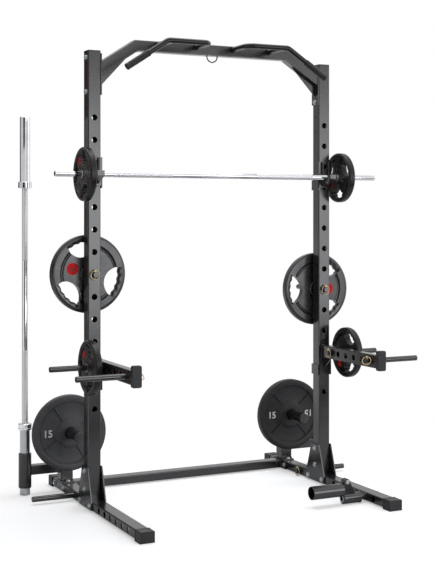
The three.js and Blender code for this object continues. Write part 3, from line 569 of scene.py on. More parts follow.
def extruded(outline, axis, ends):
    count = len(outline)
    points = [lift(axis, across, up, along) for along in ends for across, up in outline]
    walls = [[k, (k + 1) % count, count + (k + 1) % count, count + k] for k in range(count)]
    return points, [list(range(count)), list(range(count, count * 2)), *walls]


def block(x, y, z):
    outline = [(x[0], y[0]), (x[1], y[0]), (x[1], y[1]), (x[0], y[1])]
    return extruded(outline, "z", z)


def bar(axis, wide, tall, ends, at=(0, 0), corner=CORNER):
    outline = [(across + at[0], up + at[1]) for across, up in rounded(wide, tall, corner)]
    return extruded(outline, axis, ends)


def revolved(profile, axis, at, sides=64):
    """A turned shape: the profile runs from pole to pole, or closes on itself off the axis."""
    points, rings = [], []
    for radius, along in profile:
        if radius < 1e-6:
            rings.append([len(points)])
            points.append(lift(axis, at[0], at[1], along))
            continue
        rings.append(list(range(len(points), len(points) + sides)))
        for k in range(sides):
            angle = FULL * k / sides
            across, up = at[0] + radius * math.cos(angle), at[1] + radius * math.sin(angle)
            points.append(lift(axis, across, up, along))
    open_ends = len(rings[0]) == 1 and len(rings[-1]) == 1
    pairs = list(zip(rings, rings[1:])) + ([] if open_ends else [(rings[-1], rings[0])])
    faces = []
    for low, high in pairs:
        for k in range(sides):
            low_pair = low[k % len(low)], low[(k + 1) % sides % len(low)]
            high_pair = high[(k + 1) % sides % len(high)], high[k % len(high)]
            faces.append(list(dict.fromkeys(low_pair + high_pair)))
    return points, faces


def rod(axis, radius, ends, at=(0, 0), edge=0.8, sides=40):
    low, high = ends
    profile = [
        (0, low), (radius - edge, low), (radius, low + edge),
        (radius, high - edge), (radius - edge, high), (0, high),
    ]
    return revolved(profile, axis, at, sides)


def pipe(axis, outer, bore, ends, at=(0, 0), edge=0.8, sides=64):
    low, high = ends
    profile = [
        (outer - edge, low), (outer, low + edge), (outer, high - edge), (outer - edge, high),
        (bore + edge, high), (bore, high - edge), (bore, low + edge), (bore + edge, low),
    ]
    return revolved(profile, axis, at, sides)


def hex_head(axis, ends, at, radius=HEX_RADIUS):
    """A chamfered hex head that stands from ends[0] out to ends[1]."""
    low, high = ends
    tall = high - low
    profile = [(0, low), (radius, low), (radius, low + tall * 0.84), (radius * 0.86, high), (0, high)]
    return revolved(profile, axis, at, 6)


def bolt_head(axis, face, out, at):
    """A washer and a hex head on a face, out = +1 or -1 along the axis."""
    washer = face + out * WASHER_THICK
    top = washer + out * (HEX_TALL - WASHER_THICK)
    return joined(
        rod(axis, WASHER_RADIUS, (face, washer), at, 0.3 * out, 32),
        hex_head(axis, (washer, top), at),
    )


def along_route(route, closed=False):
    """Frames along a route: each point with two directions square to the route."""
    count = len(route)
    points = [Vector(p) for p in route]
    tangents = []
    for k in range(count):
        before = points[(k - 1) % count] if closed or k else points[0]
        after = points[(k + 1) % count] if closed or k < count - 1 else points[-1]
        tangents.append((after - before).normalized())
    side = tangents[0].orthogonal().normalized()
    frames = []
    for point, tangent in zip(points, tangents):
        side = (side - tangent * side.dot(tangent)).normalized()
        frames.append((point, side, tangent.cross(side)))
    return frames


def swept(route, radius, sides=24, closed=False):
    """A round bar bent along a route."""
    frames = along_route(route, closed)
    points = [
        tuple(point + a * radius * math.cos(FULL * k / sides) + b * radius * math.sin(FULL * k / sides))
        for point, a, b in frames for k in range(sides)
    ]
    loops = len(frames)
    faces = []
    for j in range(loops if closed else loops - 1):
        here, there = j * sides, (j + 1) % loops * sides
        for k in range(sides):
            after = (k + 1) % sides
            faces.append([here + k, here + after, there + after, there + k])
    if not closed:
        faces += [list(range(sides)), list(range((loops - 1) * sides, loops * sides))]
    return points, faces


def bead(axis, outline, along, radius, at=(0, 0)):
    """A weld bead round an outline in the plane square to the axis."""
    route = [lift(axis, at[0] + across, at[1] + up, along) for across, up in outline]
    return swept(route, radius, 8, True)


def bent(corners, radius, steps=10):
    """A route through the corners, with each inner corner rounded."""
    corners = [Vector(c) for c in corners]
    route = [corners[0]]
    for before, corner, after in zip(corners, corners[1:], corners[2:]):
        into, out = (before - corner).normalized(), (after - corner).normalized()
        half = into.angle(out) / 2
        back = radius / math.tan(half)
        centre = corner + (into + out).normalized() * (radius / math.sin(half))
        start, end = corner + into * back - centre, corner + out * back - centre
        swing = start.angle(end)
        for k in range(steps + 1):
            t = k / steps
            offset = start * math.sin((1 - t) * swing) + end * math.sin(t * swing)
            route.append(centre + offset / math.sin(swing))
    route.append(corners[-1])
    return route


def ordered(a, b):
    return (min(a, b), max(a, b))


# Building pieces
def mesh_of(name, shape):
    mesh = bpy.data.meshes.new(name)
    mesh.from_pydata([Vector(p) for p in shape[0]], [], shape[1])
    work = bmesh.new()
    work.from_mesh(mesh)
    bmesh.ops.recalc_face_normals(work, faces=work.faces)
    work.to_mesh(mesh)
    work.free()
    mesh.shade_smooth()
    return mesh


def add_turn_map(mesh, axis, at):
    """A UV map for knurling: the turn about the axis, and the run along it in metres."""
    layer = mesh.uv_layers.new(name="turn")
    index = "xyz".index(axis)
    others = [k for k in range(3) if k != index]
    for face in mesh.polygons:
        turns = []
        for loop in face.loop_indices:
            co = mesh.vertices[mesh.loops[loop].vertex_index].co
            turns.append(math.atan2(co[others[1]] - at[1], co[others[0]] - at[0]) / FULL)
        if max(turns) - min(turns) > 0.5:
            turns = [t + 1 if t < 0 else t for t in turns]
        for loop, t in zip(face.loop_indices, turns):
            co = mesh.vertices[mesh.loops[loop].vertex_index].co
            layer.data[loop].uv = (t, co[index] * MM)


def added(name, data):
    """A new object in the scene."""
    made = bpy.data.objects.new(name, data)
    bpy.context.scene.collection.objects.link(made)
    return made


def build(name, shape, finish, nodes=(), cuts=None, edge=0.0, rounds=2, body="frame", knurl=None, sharp=38):
    """Makes one piece: cuts holes, rounds edges, moves to metres and rides it on its body."""
    piece = added(name, mesh_of(name, shape))
    cutter = None
    if cuts:
        cutter = added(name + "_cutter", mesh_of(name + "_cutter", cuts))
        carve = piece.modifiers.new("carve", "BOOLEAN")
        carve.operation = "DIFFERENCE"
        carve.solver = "EXACT"
        carve.use_self = True
        carve.object = cutter
    if edge:
        soften = piece.modifiers.new("soften", "BEVEL")
        soften.width = edge
        soften.segments = rounds
        soften.limit_method = "ANGLE"
        soften.angle_limit = math.radians(35)
        soften.use_clamp_overlap = True
        even = piece.modifiers.new("even", "WEIGHTED_NORMAL")
        even.weight = 100
        even.mode = "FACE_AREA"
    graph = bpy.context.evaluated_depsgraph_get()
    mesh = bpy.data.meshes.new_from_object(piece.evaluated_get(graph))
    piece.modifiers.clear()
    piece.data = mesh
    mesh.name = name
    if cutter:
        bpy.data.objects.remove(cutter)
    if knurl:
        add_turn_map(mesh, *knurl)
    mesh.transform(Matrix.Scale(MM, 4))
    if not edge:
        mesh.set_sharp_from_angle(angle=math.radians(sharp))
    mesh.materials.clear()
    mesh.materials.append(finish)
    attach(piece, body)
    if nodes:
        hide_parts(*nodes)


def build_hollow(name, side, axis, size, ends, inside, at, holes):
    """A square tube on one side of the rack, with its inside and its holes cut out."""
    wide, tall = size
    tube = bar(axis, wide, tall, ends, at)
    core = bar(axis, wide - WALL * 2, tall - WALL * 2, inside, at, 2)
    build(f"{name}_tube", on_side(side, tube), COAT, [name], on_side(side, core, *holes), 0.8)


# Base rails, foot caps and crossmember
def build_rail(name, side):
    places = [RAIL_HOLE_FIRST - k * PIN_PITCH for k in range(PIN_HOLES)] + [STORE_HOLE]
    holes = [rod("x", HOLE_RADIUS, (-RAIL_WIDE, RAIL_WIDE), (y, RAIL_MIDDLE), 0.1) for y in places]
    build_hollow(f"base_rail_{name}", side, "y", (RAIL_WIDE, RAIL_TALL), (RAIL_FRONT, RAIL_BACK),
                 (RAIL_FRONT - 2, RAIL_BACK + 2), (0, RAIL_MIDDLE), holes)
    heads = [bolt_head("x", RAIL_WIDE / 2, 1, spot) for spot in FLANGE_SPOTS]
    build(f"base_rail_{name}_bolts", on_side(side, *heads), ZINC, edge=0.5)


def build_foot_cap(name, end):
    """A rubber cap pulled over the end of a rail, with a step round its mouth."""
    node_name = f"foot_cap_{name}_{end}"
    low, high = reach(node_name, 1)
    x = middle(node_name).x
    wide = span(node_name, 0)
    tall = reach(node_name, 2)[1]
    mouth = (high - 9, high) if end == "front" else (low, low + 9)
    shell = bar("y", wide - 2.4, tall - 1.2, (low, high), (x, tall / 2 - 0.6), 5)
    lip = bar("y", wide, tall - 0.6, mouth, (x, tall / 2), 6)
    sole = bar("y", wide - 1, 5, (low + 0.6, high - 0.2), (x, 2.5), 2)
    build(f"{node_name}_rubber", joined(shell, lip, sole), CAP, [node_name], edge=1.6, rounds=3)


def build_crossmember():
    flange_in = INNER_FACE - PLATE
    parts, nuts = [], []
    for side in (-1, 1):
        plate_reach = ordered(side * flange_in, side * INNER_FACE)
        parts.append(block(plate_reach, (CROSS_Y - FLANGE_HALF, CROSS_Y + FLANGE_HALF), (SOLE, RAIL_TOP)))
        nuts += [bolt_head("x", side * flange_in, -side, spot) for spot in FLANGE_SPOTS]
    tube = bar("x", CROSS_DEEP, RAIL_TALL, (-flange_in, flange_in), (CROSS_Y, RAIL_MIDDLE))
    outline = rounded(CROSS_DEEP + 1, RAIL_TALL - 1, CORNER)
    beads = [bead("x", outline, side * (flange_in - 1.5), 2.2, (CROSS_Y, RAIL_MIDDLE)) for side in (-1, 1)]
    build("crossmember_tube", on_middle(tube, *parts), COAT, ["crossmember"], edge=0.8)
    build("crossmember_welds", on_middle(*beads), COAT)
    build("crossmember_nuts", on_middle(*nuts), ZINC, edge=0.5)


# Uprights, caps and gussets
def build_upright(name, side):
    top = UPRIGHT_TOP - CAP_HEAD
    holes = [
        rod("y", HOLE_RADIUS, (-UPRIGHT, UPRIGHT), (0, UPRIGHT_TOP - TOP_HOLE_DOWN - k * HOLE_PITCH), 0.1)
        for k in range(HOLES)
    ]
    holes += [
        rod("x", SMALL_HOLE_RADIUS, (-UPRIGHT, 0), (0, UPRIGHT_TOP - down), 0.1)
        for down in SMALL_HOLES_DOWN
    ]
    build_hollow(f"upright_{name}", side, "z", (UPRIGHT, UPRIGHT), (RAIL_TOP, top),
                 (RAIL_TOP - 2, top + 2), (0, 0), holes)
    heads = [bolt_head("x", UPRIGHT / 2, 1, (0, z)) for z in BEAM_BOLTS]
    build(f"upright_{name}_bolts", on_side(side, *heads), ZINC, edge=0.5)
    head = bar("z", UPRIGHT, UPRIGHT, (top, UPRIGHT_TOP))
    plug = bar("z", UPRIGHT - WALL * 2 - 1, UPRIGHT - WALL * 2 - 1, (top - 14, top + 1), (0, 0), 2)
    build(f"upright_cap_{name}_plastic", on_side(side, head, plug), CAP, [f"upright_cap_{name}"],
          edge=1.2, rounds=3)


def build_gusset(name, side, place):
    out = 1 if place == "outer" else -1
    outline = [
        (-GUSSET_FOOT, GUSSET_RAISE), (GUSSET_FOOT, GUSSET_RAISE), (GUSSET_FOOT, RAIL_TOP),
        (GUSSET_HEAD, GUSSET_TOP), (-GUSSET_HEAD, GUSSET_TOP), (-GUSSET_FOOT, RAIL_TOP),
    ]
    face = UPRIGHT / 2
    plate = extruded(outline, "x", ordered(out * face, out * (face + PLATE)))
    spots = [(-GUSSET_RAIL_BOLT, RAIL_MIDDLE), (GUSSET_RAIL_BOLT, RAIL_MIDDLE)]
    spots += [(0, z) for z in GUSSET_BOLTS_UP]
    heads = [bolt_head("x", out * (face + PLATE), out, spot) for spot in spots]
    node_name = f"gusset_{name}_{place}"
    build(f"{node_name}_plate", on_side(side, plate), COAT, [node_name], edge=1.0)
    build(f"{node_name}_bolts", on_side(side, *heads), ZINC, edge=0.5)


def build_rear_post(name, side):
    front = CROSS_Y - POST / 2
    foot_top = RAIL_TOP + PLATE
    foot = block((-RAIL_WIDE / 2, RAIL_WIDE / 2),
                 (front - POST_FOOT_OVER, CROSS_Y + POST / 2 + POST_FOOT_OVER), (RAIL_TOP, foot_top))
    post = bar("z", POST, POST, (foot_top, POST_TOP), (0, CROSS_Y))
    arm = bar("x", HOLDER_ARM, HOLDER_ARM, (POST / 2, HOLDER_OUT - HOLDER_BORE), (CROSS_Y, HOLDER_ARM_Z))
    holder = pipe("z", HOLDER_RADIUS, HOLDER_BORE, (HOLDER_LOW, HOLDER_HIGH), (HOLDER_OUT, CROSS_Y), 1.2)
    horn = rod("y", HORN_RADIUS, (HORN_FRONT, front), (0, HORN_Z), 2.0, 64)
    arm_outline = rounded(HOLDER_ARM + 2, HOLDER_ARM + 2, CORNER)
    beads = [
        bead("z", rounded(POST + 2, POST + 2, CORNER), foot_top + 1.5, 2.4, (0, CROSS_Y)),
        bead("y", circle(HORN_RADIUS, 40), front - 1.2, 2.4, (0, HORN_Z)),
        bead("x", arm_outline, POST / 2 + 1.2, 2.2, (CROSS_Y, HOLDER_ARM_Z)),
    ]
    build(f"rear_post_{name}_tubes", on_side(side, foot, post, arm), COAT, [f"rear_post_{name}"],
          edge=0.9)
    build(f"rear_post_{name}_rounds", on_side(side, holder, horn), COAT)
    build(f"rear_post_{name}_welds", on_side(side, *beads), COAT)
    bolt = bolt_head("z", foot_top, 1, (0, front - POST_BOLT_OUT))
    build(f"rear_post_{name}_bolt", on_side(side, bolt), ZINC, edge=0.5)


# Pull-up beam and grips
def build_beam():
    plate_in = INNER_FACE - PLATE
    low = BEAM_TOP - BEAM
    low_bend = BEAM_BEND - BEAM * math.tan(BEAM_SLOPE / 2)
    fall = math.tan(BEAM_SLOPE)
    right = [
        (low_bend, low), (plate_in + 1, low - (plate_in + 1 - low_bend) * fall),
        (plate_in + 1, BEAM_TOP - (plate_in + 1 - BEAM_BEND) * fall), (BEAM_BEND, BEAM_TOP),
    ]
    outline = right + [(-x, z) for x, z in reversed(right)]
    half = BEAM / 2
    tube = extruded(outline, "y", (-half, half))
    build("pullup_beam_tube", on_middle(tube), COAT, ["pullup_beam"], edge=4.0, rounds=4)
    web_high = low - (plate_in - low_bend) * fall
    beam_high = BEAM_TOP - (plate_in - BEAM_BEND) * fall
    end_outline = [(-half, web_high), (half, web_high), (half, beam_high), (-half, beam_high)]
    web_end = plate_in - WEB_REACH
    web_end_z = low - (web_end - low_bend) * fall
    plates, nuts, beads = [], [], []
    for side in (-1, 1):
        plates.append(block(ordered(side * plate_in, side * INNER_FACE), (-UPRIGHT / 2, UPRIGHT / 2),
                            (BEAM_PLATE_LOW, BEAM_PLATE_HIGH)))
        web = [
            (side * (plate_in + 1), web_high + 2), (side * (plate_in + 1), web_high - WEB_RISE),
            (side * web_end, web_end_z), (side * web_end, web_end_z + 2),
        ]
        plates.append(extruded(web, "y", (-WEB_THICK / 2, WEB_THICK / 2)))
        nuts += [bolt_head("x", side * plate_in, -side, (0, z)) for z in BEAM_BOLTS]
        beads.append(bead("x", end_outline, side * (plate_in - 1), 2.4))
    build("pullup_beam_plates", on_middle(*plates), COAT, edge=0.9)
    build("pullup_beam_nuts", on_middle(*nuts), ZINC, edge=0.5)
    build("pullup_beam_welds", on_middle(*beads), COAT)
    eye_middle = low - EYE_DROP + EYE_RADIUS
    eye = [(-EYE_RADIUS, 0, low + 1)]
    eye += [(x, 0, eye_middle + z) for x, z in arc((0, 0), EYE_RADIUS, math.pi, FULL, 24)]
    eye.append((EYE_RADIUS, 0, low + 1))
    build("pullup_beam_eye", on_middle(swept(eye, EYE_WIRE, 16)), COAT)


def build_grip(name, side):
    root = -BEAM / 2
    drop = (GRIP_END - GRIP_BEND) * math.tan(BEAM_SLOPE)
    route = bent([
        (GRIP_INNER, root, GRIP_Z), (GRIP_INNER, GRIP_FRONT, GRIP_Z),
        (GRIP_BEND, GRIP_FRONT, GRIP_Z), (GRIP_END, GRIP_FRONT, GRIP_Z - drop),
    ], GRIP_CURL)
    stay = swept([(GRIP_STUB, GRIP_FRONT, GRIP_Z), (GRIP_STUB, root, GRIP_Z)], GRIP_RADIUS, 32)
    placed = [(RACK_X + side * x, RACK_Y + y, z) for x, y, z in route]
    stay_points = [(RACK_X + side * x, RACK_Y + y, z) for x, y, z in stay[0]]
    tube = swept(placed, GRIP_RADIUS, 32)
    build(f"pullup_grip_{name}_tube", joined(tube, (stay_points, stay[1])), GLOSS, [f"pullup_grip_{name}"])
    beads = []
    for x in (GRIP_INNER, GRIP_STUB):
        outline = [(RACK_X + side * (x + a), GRIP_Z + b) for a, b in circle(GRIP_RADIUS + 0.6, 28)]
        beads.append(bead("y", outline, RACK_Y + root - 1, 2.0))
    build(f"pullup_grip_{name}_welds", joined(*beads), GLOSS)
    # The rubber sleeve on the free end, with a rolled rim and fine ribs
    down = Vector((side * math.cos(BEAM_SLOPE), 0, -math.sin(BEAM_SLOPE)))
    outer = GRIP_RADIUS + SEAT * 2 + GRIP_SLEEVE_WALL
    profile = [(0, -GRIP_SLEEVE_WALL), (outer - 3, -GRIP_SLEEVE_WALL), (outer - 0.8, -1.6), (outer, 0.8)]
    ribs = 16
    first, last = 12, GRIP_SLEEVE - 12
    for k in range(ribs):
        along = first + (last - first) * k / (ribs - 1)
        profile += [(outer - 0.1, along - 2.2), (outer - 0.9, along - 1.2)]
        profile += [(outer - 0.9, along + 1.2), (outer - 0.1, along + 2.2)]
    profile += [
        (outer, GRIP_SLEEVE - 5), (outer, GRIP_SLEEVE - 1), (outer - 1, GRIP_SLEEVE),
        (GRIP_RADIUS + 0.2, GRIP_SLEEVE), (0, GRIP_SLEEVE - 1),
    ]
    sleeve = revolved(profile, "z", (0, 0), 40)
    end = Vector((RACK_X + side * GRIP_END, RACK_Y + GRIP_FRONT, GRIP_Z - drop)) + down * SEAT
    tilt = Matrix.Translation(end) @ Matrix.Rotation(-side * (QUARTER - BEAM_SLOPE), 4, "Y")
    build(f"grip_sleeve_{name}_rubber", turned(sleeve, tilt), SLEEVE, [f"grip_sleeve_{name}"])


# J-hooks and spotter arms
def side_flanges(low, high):
    inner = UPRIGHT / 2 + SEAT
    return [
        block(ordered(s * inner, s * (inner + SIDE_PLATE)), (HOOK_FACE, SIDE_BACK), (low, high))
        for s in (-1, 1)
    ]


def build_hook(name, side):
    rise = math.tan(HOOK_SLOPE)
    steel_top = HOOK_ARM_LOW + PLATE / math.cos(HOOK_SLOPE)
    liner_top = HOOK_ARM_LOW + (PLATE + LINER) / math.cos(HOOK_SLOPE)
    tip_front = HOOK_FACE - HOOK_REACH
    tip_back = tip_front + PLATE

    def up(y):
        return (HOOK_FACE - y) * rise

    steel = [
        (HOOK_FACE + 3, HOOK_ARM_LOW), (HOOK_FACE, HOOK_ARM_LOW), (tip_front, HOOK_ARM_LOW + up(tip_front)),
        (tip_front, HOOK_LIP_TOP - 3), (tip_front + 3, HOOK_LIP_TOP), (tip_back, HOOK_LIP_TOP),
        (tip_back, steel_top + up(tip_back)), (HOOK_FACE, steel_top), (HOOK_FACE + 3, steel_top),
    ]
    liner = [
        (HOOK_FACE + 3, steel_top - 2), (HOOK_FACE, steel_top - 2),
        (tip_back - 3, steel_top - 2 + up(tip_back)), (tip_back - 3, liner_top + up(tip_back)),
        (HOOK_FACE, liner_top), (HOOK_FACE + 3, liner_top),
    ]
    half = HOOK_ARM_WIDE / 2
    ribs = []
    for s in (-1, 1):
        x = s * (LINER_GROOVE + LINER_RIB) / 2
        ribs.append(block((x - LINER_RIB / 2, x + LINER_RIB / 2), (HOOK_FACE - LINER, HOOK_FACE + 1),
                          (liner_top - LINER / 2, HOOK_TOP - 2)))
    parts = [
        block((-CLAMP_WIDE / 2, CLAMP_WIDE / 2), (HOOK_FACE, FRONT_FACE), (HOOK_PLATE_LOW, HOOK_TOP)),
        *side_flanges(*HOOK_SIDE), extruded(steel, "x", (-half, half)),
    ]
    build(f"j_hook_{name}_steel", on_side(side, *parts), COAT, [f"j_hook_{name}"], edge=1.0)
    build(f"j_hook_{name}_liner", on_side(side, extruded(liner, "x", (-half + 0.5, half - 0.5)), *ribs),
          LINER_FINISH, edge=1.4, rounds=3)
    pin = rod("y", HOOK_PIN_RADIUS, (HOOK_FACE, -HOOK_FACE), (0, HOOK_PIN_Z), 2.5)
    weld = bead("y", circle(HOOK_PIN_RADIUS - 1, 28), HOOK_FACE - 0.5, 1.2, (0, HOOK_PIN_Z))
    build(f"j_hook_{name}_pin", on_side(side, pin, weld), COAT)


def build_arm(name, side):
    low = ARM_Z - ARM_TALL / 2
    holes = [
        rod("x", HOLE_RADIUS, (-ARM_WIDE, ARM_WIDE), (ARM_HOLE_FIRST - k * PIN_PITCH, ARM_Z), 0.1)
        for k in range(PIN_HOLES)
    ]
    build_hollow(f"spotter_arm_{name}", side, "y", (ARM_WIDE, ARM_TALL), (ARM_FRONT, HOOK_FACE + 1),
                 (ARM_FRONT - 2, HOOK_FACE - 2), (0, ARM_Z), holes)
    web = [
        (HOOK_FACE + 1, low + 2), (HOOK_FACE + 1, low - ARM_WEB_DROP), (HOOK_FACE, low - ARM_WEB_DROP),
        (HOOK_FACE - ARM_WEB_REACH, low), (HOOK_FACE - ARM_WEB_REACH, low + 2),
    ]
    parts = [
        block((-CLAMP_WIDE / 2, CLAMP_WIDE / 2), (HOOK_FACE, FRONT_FACE), ARM_PLATE),
        *side_flanges(ARM_PLATE[0], ARM_SIDE_HIGH), extruded(web, "x", (-PLATE / 2, PLATE / 2)),
    ]
    build(f"spotter_arm_{name}_plates", on_side(side, *parts), COAT, edge=1.0)
    weld = bead("y", rounded(ARM_WIDE + 1.5, ARM_TALL + 1.5, CORNER), HOOK_FACE - 1.2, 2.2, (0, ARM_Z))
    pin = rod("y", HOOK_PIN_RADIUS, (FRONT_FACE, -HOOK_FACE), (0, ARM_Z), 2.5)
    build(f"spotter_arm_{name}_welds", on_side(side, weld, pin), COAT)
    cap = f"arm_cap_{name}"
    cap_low, cap_high = reach(cap, 2)
    cap_front = reach(cap, 1)[0] - RACK_Y
    head = bar("y", span(cap, 0), cap_high - cap_low, (cap_front, ARM_FRONT),
               (0, (cap_low + cap_high) / 2), 8)
    plug = bar("y", ARM_WIDE - WALL * 2 - 1, ARM_TALL - WALL * 2 - 1, (ARM_FRONT - 2, ARM_FRONT + 20),
               (0, ARM_Z), 2)
    build(f"{cap}_rubber", on_side(side, head, plug), CAP, [cap], edge=2.2, rounds=4)


# Pegs, linch pins and rings
def build_peg(name, turn):
    """A coated bar, held by a linch pin whose eyed head carries a wire ring."""
    node_name = f"{name}_peg"
    low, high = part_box(node_name)
    axis = "y" if name.startswith("back") else "x"
    index = "xyz".index(axis)
    ends = (low[index] / MM, high[index] / MM)
    eye = middle(f"{name}_ring")
    other = 1 - index
    across = (low[other] + high[other]) / 2 / MM
    axis_z = low.z / MM + LINCH_TAIL
    if abs(eye[index] - ends[0]) < abs(eye[index] - ends[1]):
        pin_at = ends[0] + LINCH_IN
    else:
        pin_at = ends[1] - LINCH_IN
    pin = (pin_at, across) if axis == "x" else (across, pin_at)
    body = rod(axis, PEG_RADIUS, ends, (across, axis_z), 1.6, 48)
    build(f"{node_name}_bar", body, COAT, [node_name])
    tail, neck = axis_z - LINCH_TAIL, axis_z + PEG_RADIUS
    top = neck + LINCH_HEAD_TALL
    shaft = [
        (0, tail), (1.6, tail), (LINCH_RADIUS, tail + 4), (LINCH_RADIUS, neck), (LINCH_HEAD, neck),
        (LINCH_HEAD, top - 1.5), (LINCH_HEAD - 1.5, top), (0, top),
    ]
    build(f"{node_name}_linch", revolved(shaft, "z", pin, 28), YELLOW)
    eye_z = neck + LINCH_HEAD_TALL / 2
    hang = [(0, z, y - RING_RADIUS) for y, z in circle(RING_RADIUS, 56)]
    place = Matrix.Translation(Vector((pin[0], pin[1], eye_z))) @ turn
    build(f"{name}_ring_wire", turned(swept(hang, RING_WIRE, 12, True), place), YELLOW, [f"{name}_ring"],
          body=f"{name}_ring")


# Bars
def knurled_zone(name, axis, at, radius, ends, finish, body):
    """A knurled length, a hair proud of the bar, fading in with a small step."""
    low, high = ends
    profile = [
        (radius - 0.3, low), (radius + 0.12, low + 0.5), (radius + 0.12, high - 0.5), (radius - 0.3, high),
        (radius - 1, high), (radius - 1, low),
    ]
    build(name, revolved(profile, axis, at, 64), finish, body=body, knurl=(axis, at))


def build_barbell():
    centre = middle("barbell")
    ends = reach("barbell", 0)
    at = (centre.y, centre.z)
    build("barbell_bar", rod("x", BAR_RADIUS, ends, at, BAR_EDGE, 64), CHROME, ["barbell"],
          body="barbell")
    for k, (low, high) in enumerate(BAR_KNURLS):
        knurled_zone(f"barbell_knurl_{k + 1}", "x", at, BAR_RADIUS, (RACK_X + low, RACK_X + high),
                     BAR_KNURL, "barbell")


def build_long_bar():
    centre = middle("long_bar_shaft")
    at = (centre.x, centre.y)
    build("long_bar_rod", rod("z", SHAFT_RADIUS, reach("long_bar_shaft", 2), at, 1, 64), CHROME,
          ["long_bar_shaft"], body="long_bar")
    for k, (low, high) in enumerate(SHAFT_KNURLS):
        knurled_zone(f"long_bar_knurl_{k + 1}", "z", at, SHAFT_RADIUS, (low, high),
                     SHAFT_KNURL, "long_bar")
    for name in ("lower", "upper"):
        node_name = f"long_bar_sleeve_{name}"
        low, high = reach(node_name, 2)
        shoulder = SLEEVE_LONG - COLLAR
        bore = SHAFT_RADIUS + SEAT
        thin, thick, end = SLEEVE_RADIUS, COLLAR_RADIUS, SLEEVE_LONG
        profile = [
            (0, 1.5), (9, 1.5), (9.5, 2.2), (17, 2.2), (18, 0), (thin - 2.5, 0), (thin, 2.5),
            (thin, shoulder - 3), (thin + 1.5, shoulder), (thick - 1.2, shoulder), (thick, shoulder + 1.2),
            (thick, shoulder + 8), (thick - 1, shoulder + 9), (thick - 1, shoulder + 11),
            (thick, shoulder + 12), (thick, end - 2), (thick - 2, end), (bore + 4, end),
            (bore + 3.4, end - 0.8), (bore, end - 0.8), (bore, end - 12), (0, end - 12),
        ]
        heights = [(r, low + h) if name == "lower" else (r, high - h) for r, h in profile]
        build(f"{node_name}_chrome", revolved(heights, "z", at, 96), CHROME, [node_name],
              body=node_name, sharp=30)


# Plates
def opening_outline(radius):
    """A hand opening that points along +X: finger scallops outside, a lobe towards the hub."""
    ring, lobe, out, corner = RING_IN * radius, 0.4 * radius, 0.84 * radius, 0.045 * radius
    a = ((ring - corner) ** 2 - (lobe - corner) ** 2 + out ** 2) / (out * 2)
    meet = (a, math.sqrt((ring - corner) ** 2 - a * a))
    ring_angle = math.atan2(meet[1], meet[0])
    lobe_angle = math.atan2(meet[1], meet[0] - out)
    upper = []
    steps = 24
    for k in range(steps):
        angle = ring_angle * k / steps
        at = ring + scallop(radius, angle / ring_angle)
        upper.append((at * math.cos(angle), at * math.sin(angle)))
    upper += arc(meet, corner, ring_angle, lobe_angle, 6)[:-1]
    upper += arc((out, 0), lobe, lobe_angle, math.pi, 18)
    lower = [(x, -y) for x, y in reversed(upper[1:-1])]
    return upper + lower


def scallop(radius, share):
    """How far the finger scallops come in, at a share of the way from the opening's middle to its end."""
    return SCALLOP_DEPTH * radius * (math.cos(share * math.pi * SCALLOPS) - 1)


def handle_cut(axis, radius, half, middle_turn, out):
    """Takes the edge off a handle on one face, between two sectors, in step with its scallops."""
    section = [
        (0.79, 0.4), (0.79, 1.4), (0.94, 1.4), (0.915, 1.0),
        (0.885, 0.93), (0.86, 0.8), (0.842, 0.6), (0.832, 0.4),
    ]
    steps = 56
    points = []
    for k in range(steps + 1):
        share = k / steps * 2 - 1
        turn = middle_turn + share * HANDLE_SPAN
        for r, h in section:
            at = r * radius + (scallop(radius, share * 1.06) * 1.3 if 0.8 < r < 0.9 else 0)
            points.append(lift(axis, at * math.cos(turn), at * math.sin(turn), out * h * half))
    count = len(section)
    faces = [list(range(count)), list(range(steps * count, (steps + 1) * count))]
    for k in range(steps):
        for j in range(count):
            after = (j + 1) % count
            faces.append([k * count + j, k * count + after, (k + 1) * count + after, (k + 1) * count + j])
    return points, faces


def spun(outline, turn):
    c, s = math.cos(turn), math.sin(turn)
    return [(x * c - y * s, x * s + y * c) for x, y in outline]


def on_plate(node_name, part, shapes, finish, **more):
    """Builds a part of a plate, drawn about the plate's middle, on the plate's own body."""
    shape = shift(joined(*shapes), middle(node_name))
    build(f"{node_name}_{part}", shape, finish, body=node_name, **more)


